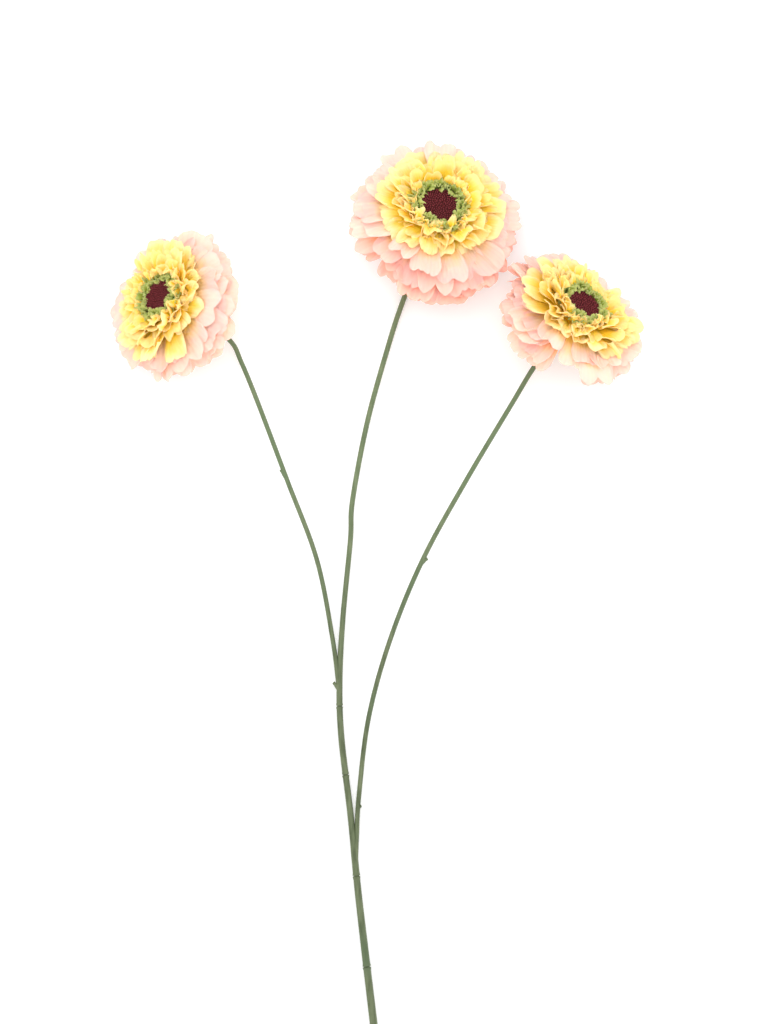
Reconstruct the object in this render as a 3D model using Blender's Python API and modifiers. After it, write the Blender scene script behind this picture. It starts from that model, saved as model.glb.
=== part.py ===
"""Zinnia spray: three double blooms on one forked stem, lying on a flat surface.

Lengths are in millimetres until a mesh is made, and angles in degrees. The spray lies along +Y
with its cut end at -Y, its blooms face up, and it rests on the plane z = 0 with its low petals
and its cut end.
"""

import math
import random
from collections import namedtuple

import bmesh
import bpy
from mathutils import Matrix, Vector

MM = 0.001
SEAT_GAP = 0.3
WELD_REACH = 0.01
SMOOTH_UNDER = 35.0

# Blooms, each given by the point on its axis where its two petal groups meet.
Bloom = namedtuple("Bloom", "name centre tilt heading scale seed")
BLOOMS = (
    Bloom("top", (33.8, 258.5, 33.5), 29.0, 74.0, 1.03, 11),
    Bloom("left", (-116.5, 209.5, 35.0), 42.0, 156.0, 0.92, 23),
    Bloom("right", (111.0, 202.5, 37.5), 46.0, 50.0, 0.95, 37),
)

# Petals, at a bloom scale of 1. Rise and droop are a petal's slope at its root and at its tip,
# above the plane across the bloom's axis. Fill is the share of the circle that a layer's petals
# cover where they are widest: they never reach into their neighbours' share.
PETAL_THICKNESS = 0.7
FULL_AT = 0.36
SWELL_POWER = 0.6
WIDEST_AT = 0.72
TIP_SHARE = 0.72
TIP_ROUND = 0.11
TURN_POWER = 1.5
PATH_STEPS = 24
Layer = namedtuple("Layer", "count root_radius root_height length fill rise droop cup ruffle")
OUTER_LAYERS = (
    Layer(10, 7.0, -7.9, 41.0, 0.92, 2.0, -50.0, -0.20, 0.8),
    Layer(10, 7.0, -5.9, 42.5, 0.93, 9.0, -38.0, -0.16, 0.9),
    Layer(11, 7.0, -4.2, 42.0, 0.94, 16.0, -26.0, -0.12, 0.9),
)
INNER_LAYERS = (
    Layer(11, 8.0, -0.7, 30.5, 0.92, 25.0, -14.0, -0.08, 0.9),
    Layer(10, 9.0, -0.1, 24.8, 0.90, 35.0, 0.0, 0.10, 0.8),
    Layer(9, 9.8, 0.6, 20.0, 0.88, 47.0, 16.0, 0.18, 0.7),
    Layer(8, 11.0, 1.4, 15.0, 0.74, 62.0, 42.0, 0.25, 0.4),
)
RUFFLE_TURNS = 5.0
RUFFLE_SHEAR = 2.0
ANGLE_DRAW = 2.5
TIP_DRAW = 2.0
LENGTH_DRAW = 0.06
ROLL_DRAW = 5.0
NOTCH_DEPTH = 0.10
PETAL_ROWS = (0.0, 0.46, 0.8, 1.0)
SHORT_PETAL_ROWS = (0.0, 0.6, 1.0)
PETAL_COLUMNS = (-1.0, 0.0, 1.0)
LONG_PETAL = 25.0

# A slab whose top is the surface: it cuts the low petal tips flat.
FLOOR_SIZE = 800.0
FLOOR_DEPTH = 40.0

# Hubs that hold the petal roots.
HUB_SIDES = 8
Hub = namedtuple("Hub", "radius low high")
OUTER_HUB = Hub(12.5, -9.0, -2.0)
INNER_HUB = Hub(14.0, -1.7, 7.0)

# The green ring of florets and the disc inside it.
RING_INNER_RADIUS = 10.6
RING_OUTER_RADIUS = 12.4
RING_HEIGHTS = (7.3, 9.2)
RING_SIDES = 16
FLORET_LAYERS = (
    Layer(11, 11.7, 7.8, 7.0, 0.80, 66.0, 34.0, 0.2, 0.2),
    Layer(11, 11.3, 7.8, 6.6, 0.74, 84.0, 128.0, 0.2, 0.2),
)
FLORET_ROWS = (0.0, 1.0)
DISC_RADIUS = 10.3
DISC_BASE = 7.3
DISC_RISE = 2.6
DISC_BOWL = 0.9
DISC_LIP = 0.6
DISC_RINGS = 5
DISC_SIDES = 16
STUD_HEIGHT = 0.75

# Calyx, a cup under the petals with overlapping bracts round it.
CALYX_TOP = -9.3
CALYX_BASE = -24.0
CALYX_PROFILE = ((11.6, 0.0), (11.8, 1.2), (9.8, 4.4), (6.4, 8.0), (3.6, 11.6), (2.6, 14.7))
CALYX_SIDES = 10
BRACT_LAYERS = (Layer(8, 3.2, -19.0, 15.5, 0.84, 34.0, 10.0, 0.10, 0.0),)

# Stem. Each route is (x, y, z, radius), from its lower end to just below its bloom, and runs on
# from there to the calyx.
MAIN_ROUTE = (
    (10.0, -300.0, 2.15, 2.15),
    (-2.6, -194.5, 2.6, 2.15),
    (-10.7, -125.6, 3.0, 1.95),
    (-15.1, -80.8, 3.3, 1.80),
    (-20.4, -36.0, 3.7, 1.75),
    (-21.4, -5.0, 4.0, 1.70),
    (-19.5, 31.2, 4.3, 1.50),
    (-15.2, 76.0, 4.6, 1.45),
    (-14.0, 98.4, 4.7, 1.45),
    (-5.5, 143.2, 4.5, 1.45),
    (6.9, 188.0, 3.8, 1.45),
    (14.2, 210.4, 3.3, 1.45),
    (21.6, 229.0, 3.4, 1.50),
)
LEFT_ROUTE = (
    (-21.6, -10.0, 3.9, 1.25),
    (-25.4, 20.0, 4.4, 1.30),
    (-34.3, 64.8, 5.8, 1.30),
    (-51.0, 109.6, 7.6, 1.30),
    (-67.9, 154.4, 9.0, 1.30),
    (-77.1, 176.8, 9.6, 1.30),
    (-83.6, 189.0, 10.2, 1.35),
)
RIGHT_ROUTE = (
    (-13.4, -99.0, 3.2, 1.30),
    (-11.0, -69.6, 3.6, 1.35),
    (-4.8, -24.8, 4.6, 1.35),
    (7.6, 20.0, 6.2, 1.35),
    (25.9, 64.8, 8.2, 1.35),
    (50.4, 109.6, 10.2, 1.35),
    (77.1, 154.4, 11.6, 1.35),
    (87.9, 172.4, 12.4, 1.40),
)
ROUTES = (("top", MAIN_ROUTE), ("left", LEFT_ROUTE), ("right", RIGHT_ROUTE))
NECK_RADIUS = 1.55
NECK_PULL = 1.1
ROUTE_PIECES = 20
STATION_SPACING = 19.0
NECK_SPACING = 5.0
NECK_REACH = 34.0
NECK_END = 1.6
TUBE_RESOLUTION = 2
RING_LEVELS = (-166.0, -115.0, -58.5, -18.5)
RING_CLEARANCE = 3.0
RING_STEPS = ((-1.3, 1.0), (-0.9, 1.13), (0.9, 1.13), (1.3, 1.0))

# Leaf scars: (x, y, z) of the root, heading in the plane, length.
SCARS = (
    ((-52.0, 112.2, 7.7), 128.0, 4.4),
    ((25.2, 63.2, 8.1), 33.0, 4.0),
    ((-21.9, -8.4, 4.0), 132.0, 4.4),
    ((-11.2, -75.0, 3.5), 28.0, 2.6),
)
SCAR_RISE = 0.12
SCAR_BASE_RADIUS = 1.5
SCAR_TIP_RADIUS = 0.6
SCAR_SIDES = 6

# Finishes: name, colour, roughness.
PINK_PETAL = ("Pink petal", (0.965, 0.560, 0.470, 1.0), 0.75)
YELLOW_PETAL = ("Yellow petal", (0.960, 0.740, 0.250, 1.0), 0.75)
GREEN_FLORET = ("Green floret", (0.360, 0.500, 0.130, 1.0), 0.80)
BURGUNDY_DISC = ("Burgundy disc", (0.110, 0.016, 0.040, 1.0), 0.85)
CALYX_GREEN = ("Calyx green", (0.220, 0.300, 0.110, 1.0), 0.70)
STEM_GREEN = ("Stem green", (0.235, 0.270, 0.130, 1.0), 0.65)


def clear_scene():
    for item in list(bpy.data.objects):
        bpy.data.objects.remove(item)


def plain_material(name, colour, roughness):
    material = bpy.data.materials.new(name)
    material.use_nodes = True
    shader = material.node_tree.nodes["Principled BSDF"]
    shader.inputs["Base Color"].default_value = colour
    shader.inputs["Roughness"].default_value = roughness
    shader.inputs["Metallic"].default_value = 0.0
    return material


def bloom_matrix(bloom):
    """Turns the bloom's own axis, +Z, towards its heading by its tilt, then moves it to its centre."""
    heading = Matrix.Rotation(math.radians(bloom.heading), 4, "Z")
    tilt = Matrix.Rotation(math.radians(bloom.tilt), 4, "Y")
    return Matrix.Translation(bloom.centre) @ heading @ tilt @ heading.inverted()


def new_collection(name):
    collection = bpy.data.collections.new(name)
    bpy.context.scene.collection.children.link(collection)
    return collection


def add_object(name, mesh, collection):
    item = bpy.data.objects.new(name, mesh)
    collection.objects.link(item)
    return item


def in_metres(matrix):
    """The same move for a mesh in metres as the matrix makes in millimetres."""
    return Matrix.Scale(MM, 4) @ matrix @ Matrix.Scale(1.0 / MM, 4)


def finish_mesh(mesh, material):
    mesh.materials.clear()
    mesh.materials.append(material)
    mesh.shade_smooth()
    mesh.set_sharp_from_angle(angle=math.radians(SMOOTH_UNDER))


def evaluated_mesh(item, name):
    """A mesh of the item as it stands in the world, with its modifiers applied."""
    bpy.context.view_layer.update()
    graph = bpy.context.evaluated_depsgraph_get()
    mesh = bpy.data.meshes.new_from_object(item.evaluated_get(graph))
    mesh.name = name
    mesh.transform(item.matrix_world)
    return mesh


def weld(mesh):
    """Merges points that lie on each other, such as a tube's caps and its rim."""
    mesh_maker = bmesh.new()
    mesh_maker.from_mesh(mesh)
    bmesh.ops.remove_doubles(mesh_maker, verts=mesh_maker.verts, dist=WELD_REACH * MM)
    mesh_maker.to_mesh(mesh)
    mesh_maker.free()


def petal_path(layer, draw, scale):
    """Radius, height and angle along the petal's middle, from its root to its tip."""
    radius = layer.root_radius * scale
    height = layer.root_height * scale
    step = layer.length * scale * draw.length / PATH_STEPS
    rise = layer.rise + draw.angle
    droop = layer.droop + TIP_DRAW * draw.angle
    path = []
    for index in range(PATH_STEPS + 1):
        share = (index / PATH_STEPS) ** TURN_POWER
        angle = math.radians(rise + (droop - rise) * share)
        path.append((radius, height, angle))
        radius += step * math.cos(angle)
        height += step * math.sin(angle)
    return path


def read_path(path, share):
    place = min(max(share, 0.0), 1.0) * PATH_STEPS
    low = min(int(place), PATH_STEPS - 1)
    part = place - low
    return [a + (b - a) * part for a, b in zip(path[low], path[low + 1])]


def half_width(layer, share, radius):
    """Half the petal's width: it swells with its distance from the axis and draws in at its tip."""
    sector = 2.0 * math.pi * radius / layer.count
    full = min(share / FULL_AT, 1.0) ** SWELL_POWER
    past = max(share - WIDEST_AT, 0.0) / (1.0 - WIDEST_AT)
    return 0.5 * layer.fill * sector * full * (1.0 - (1.0 - TIP_SHARE) * past * past)


Draw = namedtuple("Draw", "spin angle length roll notch phase")


def draw_petal(chance, index, layer, offset):
    """One petal's own turn round the axis, rise, length, roll, notch and ruffle."""
    sector = 360.0 / layer.count
    spare = 0.5 * sector * (1.0 - layer.fill)
    spin = sector * (index + offset) + chance.uniform(-spare, spare)
    angle = chance.uniform(-ANGLE_DRAW, ANGLE_DRAW)
    length = 1.0 + chance.uniform(-LENGTH_DRAW, LENGTH_DRAW)
    roll = chance.uniform(-ROLL_DRAW, ROLL_DRAW)
    notch = NOTCH_DEPTH * chance.random()
    phase = chance.uniform(0.0, 2.0 * math.pi)
    return Draw(math.radians(spin), angle, length, math.radians(roll), notch, phase)


def petal_point(path, layer, draw, scale, along, across):
    """A point of the petal's middle surface and the direction across its thickness."""
    reach = along * (1.0 - TIP_ROUND * across * across)
    if across == 0.0:
        reach -= draw.notch * along ** 4
    radius, height, angle = read_path(path, reach)
    outward = Vector((math.cos(draw.spin), math.sin(draw.spin), 0.0))
    aside = Vector((-math.sin(draw.spin), math.cos(draw.spin), 0.0))
    normal = Vector((0.0, 0.0, math.cos(angle))) - outward * math.sin(angle)
    roll = draw.roll * along
    across_way = aside * math.cos(roll) + normal * math.sin(roll)
    half = half_width(layer, along, radius)
    wave = math.sin(RUFFLE_TURNS * along + draw.phase + RUFFLE_SHEAR * across)
    lift = along * abs(across) * (layer.cup * half + layer.ruffle * scale * wave * along)
    middle = outward * radius + Vector((0.0, 0.0, height))
    return middle + across_way * (half * across) + normal * lift, normal


def blade_mesh(name, matrix, sample, rows, columns):
    """A closed blade of even thickness that widens from a point, split alike on both faces."""
    mesh_maker = bmesh.new()
    turn = matrix.to_3x3()
    half = 0.5 * PETAL_THICKNESS

    def pair(along, across):
        point, normal = sample(along, across)
        point = matrix @ point
        offset = turn @ normal * half
        return [mesh_maker.verts.new((point + side * offset) * MM) for side in (1.0, -1.0)]

    root = pair(rows[0], 0.0)
    grid = [[pair(along, across) for across in columns] for along in rows[1:]]
    last_row, last_column = len(grid) - 1, len(columns) - 1
    trios = [(root, grid[0][j], grid[0][j + 1]) for j in range(last_column)]
    for i in range(last_row):
        for j in range(last_column):
            corners = [grid[i][j], grid[i + 1][j], grid[i + 1][j + 1], grid[i][j + 1]]
            if j % 2:
                corners = corners[1:] + corners[:1]
            trios += [(corners[0], corners[1], corners[2]), (corners[0], corners[2], corners[3])]
    for a, b, c in trios:
        mesh_maker.faces.new((a[0], b[0], c[0]))
        mesh_maker.faces.new((c[1], b[1], a[1]))
    rim = [root] + [row[0] for row in grid] + grid[-1][1:-1] + [row[-1] for row in reversed(grid)]
    for here, there in zip(rim, rim[1:] + rim[:1]):
        mesh_maker.faces.new((here[1], there[1], there[0]))
        mesh_maker.faces.new((here[1], there[0], here[0]))
    mesh = bpy.data.meshes.new(name)
    mesh_maker.to_mesh(mesh)
    mesh_maker.free()
    return mesh


def add_blades(bloom, layers, rows_of, chance, collection):
    """Every blade of the layers, each layer turned half a step from the one below."""
    matrix = bloom_matrix(bloom)
    for number, layer in enumerate(layers):
        for index in range(layer.count):
            draw = draw_petal(chance, index, layer, 0.5 * number)
            path = petal_path(layer, draw, bloom.scale)

            def sample(along, across, path=path, layer=layer, draw=draw):
                return petal_point(path, layer, draw, bloom.scale, along, across)

            name = f"{bloom.name}_blade_{number}_{index}"
            mesh = blade_mesh(name, matrix, sample, rows_of(layer), PETAL_COLUMNS)
            add_object(name, mesh, collection)


def cylinder_mesh(name, matrix, radius, low, high, sides):
    mesh_maker = bmesh.new()
    middle = Matrix.Translation((0.0, 0.0, 0.5 * (low + high)))
    bmesh.ops.create_cone(
        mesh_maker,
        cap_ends=True,
        segments=sides,
        radius1=radius,
        radius2=radius,
        depth=high - low,
        matrix=middle,
    )
    mesh = bpy.data.meshes.new(name)
    mesh_maker.to_mesh(mesh)
    mesh_maker.free()
    mesh.transform(Matrix.Scale(MM, 4) @ matrix)
    return mesh


def turned_mesh(name, profile, sides, collection):
    """A profile of (radius, height) points turned once round +Z."""
    mesh = bpy.data.meshes.new(name)
    edges = [(index, index + 1) for index in range(len(profile) - 1)]
    mesh.from_pydata([(radius * MM, 0.0, height * MM) for radius, height in profile], edges, [])
    item = add_object(name, mesh, collection)
    screw = item.modifiers.new("Turn", "SCREW")
    screw.steps = sides
    screw.render_steps = sides
    screw.use_merge_vertices = True
    screw.merge_threshold = WELD_REACH * MM
    screw.use_smooth_shade = False
    turned = evaluated_mesh(item, name)
    bpy.data.objects.remove(item)
    bpy.data.meshes.remove(mesh)
    weld(turned)
    return turned


def floor_cutter(cutters):
    mesh_maker = bmesh.new()
    bmesh.ops.create_cube(mesh_maker, size=MM)
    mesh = bpy.data.meshes.new("floor_cutter")
    mesh_maker.to_mesh(mesh)
    mesh_maker.free()
    mesh.transform(Matrix.Diagonal((FLOOR_SIZE, FLOOR_SIZE, FLOOR_DEPTH, 1.0)))
    floor = add_object("floor_cutter", mesh, cutters)
    floor.location.z = -0.5 * FLOOR_DEPTH * MM
    floor.hide_render = True
    floor.display_type = "WIRE"
    return floor


def cut_at_floor(item, floor):
    """Cuts off what reaches below the surface, so that low petal tips stand on flat ends."""
    cut = item.modifiers.new("Cut", "BOOLEAN")
    cut.operation = "DIFFERENCE"
    cut.object = floor
    cut.solver = "EXACT"


def join_blades(name, core, blades, parts, material):
    """One Boolean union of the core with every blade, applied, with the blades then removed."""
    item = add_object(name, core, parts)
    union = item.modifiers.new("Join", "BOOLEAN")
    union.operation = "UNION"
    union.operand_type = "COLLECTION"
    union.collection = blades
    union.solver = "EXACT"
    joined = evaluated_mesh(item, name)
    item.modifiers.clear()
    item.data = joined
    for blade in list(blades.objects):
        mesh = blade.data
        bpy.data.objects.remove(blade)
        bpy.data.meshes.remove(mesh)
    bpy.data.collections.remove(blades)
    finish_mesh(joined, material)
    return item


def petal_rows(layer):
    return PETAL_ROWS if layer.length > LONG_PETAL else SHORT_PETAL_ROWS


def build_petals(bloom, kind, layers, hub, material, chance, parts):
    """Layers of petals with their roots sunk in one hub."""
    name = f"{bloom.name}_{kind}"
    blades = new_collection(f"{name}_blades")
    add_blades(bloom, layers, petal_rows, chance, blades)
    radius, low, high = (size * bloom.scale for size in hub)
    core = cylinder_mesh(name, bloom_matrix(bloom), radius, low, high, HUB_SIDES)
    return join_blades(name, core, blades, parts, material)


def build_florets(bloom, material, chance, parts):
    """The green ring: a low band with short frilled tongues leaning out and in over the disc."""
    name = f"{bloom.name}_florets"
    blades = new_collection(f"{name}_blades")
    add_blades(bloom, FLORET_LAYERS, lambda layer: FLORET_ROWS, chance, blades)
    low, high = RING_HEIGHTS
    inner, outer = RING_INNER_RADIUS, RING_OUTER_RADIUS
    profile = [(outer, high), (outer, low), (inner, low), (inner, high), (outer, high)]
    profile = [(radius * bloom.scale, height * bloom.scale) for radius, height in profile]
    band = turned_mesh(name, profile, RING_SIDES, parts)
    band.transform(in_metres(bloom_matrix(bloom)))
    return join_blades(name, band, blades, parts, material)


def build_disc(bloom, material, parts):
    """The disc, slightly dished, and studded by raising every second point of its top."""
    name = f"{bloom.name}_disc"
    scale = bloom.scale
    rim_height = DISC_BASE + DISC_RISE
    profile = [(0.0, rim_height - DISC_BOWL)]
    for ring in range(1, DISC_RINGS):
        share = ring / DISC_RINGS
        height = rim_height - DISC_BOWL * (1.0 - share * share)
        profile.append((DISC_RADIUS * share, height))
    profile += [(DISC_RADIUS, rim_height - DISC_LIP), (DISC_RADIUS, DISC_BASE), (0.0, DISC_BASE)]
    profile = [(radius * scale, height * scale) for radius, height in profile]
    mesh = turned_mesh(name, profile, DISC_SIDES, parts)
    ring_step = DISC_RADIUS * scale * MM / DISC_RINGS
    side_step = 2.0 * math.pi / DISC_SIDES
    low_limit = (DISC_BASE + 0.5 * DISC_RISE) * scale * MM
    for vertex in mesh.vertices:
        radius = math.hypot(vertex.co.x, vertex.co.y)
        ring = round(radius / ring_step)
        side = round(math.atan2(vertex.co.y, vertex.co.x) / side_step)
        if vertex.co.z > low_limit and 0 < ring < DISC_RINGS and (ring + side) % 2:
            vertex.co.z += STUD_HEIGHT * scale * MM
    mesh.transform(in_metres(bloom_matrix(bloom)))
    mesh_maker = bmesh.new()
    mesh_maker.from_mesh(mesh)
    bmesh.ops.triangulate(mesh_maker, faces=mesh_maker.faces)
    mesh_maker.to_mesh(mesh)
    mesh_maker.free()
    finish_mesh(mesh, material)
    return add_object(name, mesh, parts)


def build_calyx(bloom, material, chance, parts):
    """The green cup under the petals, with a whorl of bracts round it."""
    name = f"{bloom.name}_calyx"
    blades = new_collection(f"{name}_blades")
    add_blades(bloom, BRACT_LAYERS, lambda layer: SHORT_PETAL_ROWS, chance, blades)
    profile = [(0.0, CALYX_TOP)]
    profile += [(radius, CALYX_TOP - depth) for radius, depth in CALYX_PROFILE]
    profile += [(0.0, CALYX_BASE)]
    profile = [(radius * bloom.scale, height * bloom.scale) for radius, height in profile]
    cup = turned_mesh(name, profile, CALYX_SIDES, parts)
    cup.transform(in_metres(bloom_matrix(bloom)))
    return join_blades(name, cup, blades, parts, material)


def curve_between(before, start, end, after, share):
    """Catmull-Rom blend of four route points, position and radius alike."""
    values = []
    for a, b, c, d in zip(before, start, end, after):
        slope_in, slope_out = 0.5 * (c - a), 0.5 * (d - b)
        rest = (1 - share) ** 2 * (1 + 2 * share) * b + share ** 2 * (3 - 2 * share) * c
        rest += share * (1 - share) ** 2 * slope_in - share ** 2 * (1 - share) * slope_out
        values.append(rest)
    return values


def smooth_route(points, end_way):
    """The route as a dense list of (x, y, z, radius), which ends heading along end_way."""
    reach = NECK_PULL * math.dist(points[-1][:3], points[-2][:3])
    before_first = [2.0 * a - b for a, b in zip(points[0], points[1])]
    after_last = [a + 2.0 * reach * way for a, way in zip(points[-2], (*end_way, 0.0))]
    padded = [before_first, *points, after_last]
    dense = []
    for index in range(1, len(padded) - 2):
        four = padded[index - 1 : index + 3]
        dense += [curve_between(*four, piece / ROUTE_PIECES) for piece in range(ROUTE_PIECES)]
    dense.append(list(points[-1]))
    return dense


def stations(dense, ring_levels):
    """Thins the dense route to even steps, closer at the neck, and adds the raised rings."""
    lengths = [0.0]
    for here, there in zip(dense, dense[1:]):
        lengths.append(lengths[-1] + math.dist(here[:3], there[:3]))
    total = lengths[-1]
    marks = []
    bend_start = total - NECK_REACH
    straight_steps = round(bend_start / STATION_SPACING)
    marks += [(bend_start * k / straight_steps, 1.0) for k in range(straight_steps)]
    bend_steps = round(NECK_REACH / NECK_SPACING)
    marks += [(bend_start + NECK_REACH * k / bend_steps, 1.0) for k in range(bend_steps)]
    marks += [(total - NECK_END, 1.0), (total, 1.0)]
    for level in ring_levels:
        nearest = min(range(len(dense)), key=lambda k: abs(dense[k][1] - level))
        middle = lengths[nearest]
        marks = [mark for mark in marks if abs(mark[0] - middle) > RING_CLEARANCE]
        marks += [(middle + shift, swell) for shift, swell in RING_STEPS]
    result = []
    for mark, swell in sorted(marks):
        index = min(sum(length <= mark for length in lengths), len(lengths) - 1)
        span = lengths[index] - lengths[index - 1]
        part = (mark - lengths[index - 1]) / span
        x, y, z, radius = (a + (b - a) * part for a, b in zip(dense[index - 1], dense[index]))
        result.append((x, y, z, radius * swell))
    return result


def tube_object(name, points, collection):
    """A round tube along the points, as a welded mesh."""
    curve = bpy.data.curves.new(name, "CURVE")
    curve.dimensions = "3D"
    curve.bevel_depth = MM
    curve.bevel_resolution = TUBE_RESOLUTION
    curve.use_fill_caps = True
    spline = curve.splines.new("POLY")
    spline.points.add(len(points) - 1)
    for knot, (x, y, z, radius) in zip(spline.points, points):
        knot.co = (x * MM, y * MM, z * MM, 1.0)
        knot.radius = radius
    item = add_object(name, curve, collection)
    mesh = evaluated_mesh(item, name)
    bpy.data.objects.remove(item)
    bpy.data.curves.remove(curve)
    weld(mesh)
    return mesh


def scar_mesh(name, place, heading, length):
    """A leaf scar: a short tapered peg that leans out of the stem, rooted at its middle."""
    mesh_maker = bmesh.new()
    bmesh.ops.create_cone(
        mesh_maker,
        cap_ends=True,
        segments=SCAR_SIDES,
        radius1=SCAR_BASE_RADIUS,
        radius2=SCAR_TIP_RADIUS,
        depth=length,
        matrix=Matrix.Translation((0.0, 0.0, 0.5 * length)),
    )
    mesh = bpy.data.meshes.new(name)
    mesh_maker.to_mesh(mesh)
    mesh_maker.free()
    way = Vector((math.cos(math.radians(heading)), math.sin(math.radians(heading)), SCAR_RISE))
    turn = way.to_track_quat("Z", "X").to_matrix().to_4x4()
    mesh.transform(Matrix.Scale(MM, 4) @ Matrix.Translation(place) @ turn)
    return mesh


def build_stem(material, parts):
    """The forked stem: the main stem runs on to the top bloom, and two branches leave it."""
    blooms = {bloom.name: bloom for bloom in BLOOMS}
    branches = new_collection("stem_branches")
    main = None
    for name, route in ROUTES:
        bloom = blooms[name]
        matrix = bloom_matrix(bloom)
        end = matrix @ Vector((0.0, 0.0, CALYX_BASE * bloom.scale - SEAT_GAP))
        dense = smooth_route([*route, (*end, NECK_RADIUS)], matrix.to_3x3() @ Vector((0.0, 0.0, 1.0)))
        levels = RING_LEVELS if main is None else ()
        tube = tube_object(f"{name}_branch", stations(dense, levels), branches)
        if main is None:
            main = tube
        else:
            add_object(f"{name}_branch", tube, branches)
    for number, (place, heading, length) in enumerate(SCARS):
        name = f"scar_{number}"
        add_object(name, scar_mesh(name, place, heading, length), branches)
    return join_blades("stem", main, branches, parts, material)


def build():
    clear_scene()
    parts = new_collection("Zinnia spray")
    floor = floor_cutter(new_collection("Cutters"))
    pink = plain_material(*PINK_PETAL)
    yellow = plain_material(*YELLOW_PETAL)
    green = plain_material(*GREEN_FLORET)
    burgundy = plain_material(*BURGUNDY_DISC)
    calyx = plain_material(*CALYX_GREEN)
    build_stem(plain_material(*STEM_GREEN), parts)
    for bloom in BLOOMS:
        chance = random.Random(bloom.seed)
        build_calyx(bloom, calyx, chance, parts)
        outer = build_petals(bloom, "outer_petals", OUTER_LAYERS, OUTER_HUB, pink, chance, parts)
        cut_at_floor(outer, floor)
        build_petals(bloom, "inner_petals", INNER_LAYERS, INNER_HUB, yellow, chance, parts)
        build_florets(bloom, green, chance, parts)
        build_disc(bloom, burgundy, parts)


build()
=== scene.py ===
"""Zinnia spray in its finished surfaces: cloth petals, frilled florets, flocked discs, moulded stem.

Run as a script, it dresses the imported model. Lengths are in millimetres until a mesh is made, and
angles in degrees. Every petal follows the rule of the solid it replaces, sampled finely, and then
gets its lobes, folds and curled rims.
"""

import math
import random
from collections import namedtuple

import bmesh
import bpy
import numpy as np
from bpy.props import FloatProperty, FloatVectorProperty, IntProperty, PointerProperty
from mathutils import Matrix, Vector


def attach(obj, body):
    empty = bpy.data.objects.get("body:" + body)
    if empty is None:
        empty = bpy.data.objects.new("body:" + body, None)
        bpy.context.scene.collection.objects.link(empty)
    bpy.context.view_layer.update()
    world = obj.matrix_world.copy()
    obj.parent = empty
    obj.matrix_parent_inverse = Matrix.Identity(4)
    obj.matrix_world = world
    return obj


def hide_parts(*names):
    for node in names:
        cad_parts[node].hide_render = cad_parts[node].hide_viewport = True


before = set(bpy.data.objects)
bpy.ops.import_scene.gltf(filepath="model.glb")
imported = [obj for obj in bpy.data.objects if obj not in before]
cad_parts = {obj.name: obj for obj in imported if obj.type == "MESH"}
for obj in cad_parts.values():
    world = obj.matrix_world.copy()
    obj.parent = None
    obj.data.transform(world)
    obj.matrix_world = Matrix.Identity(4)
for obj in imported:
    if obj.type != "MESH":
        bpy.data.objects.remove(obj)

bl_info = {
    "name": "Zinnia spray",
    "version": (1, 0, 0),
    "blender": (4, 5, 0),
    "location": "View3D > Sidebar > Zinnia",
    "description": "Dresses a three-bloom zinnia spray in cloth petals, florets, discs and stem",
    "category": "Object",
}

MM = 0.001
SEAT_GAP = 0.3
WELD_REACH = 0.01

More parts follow.
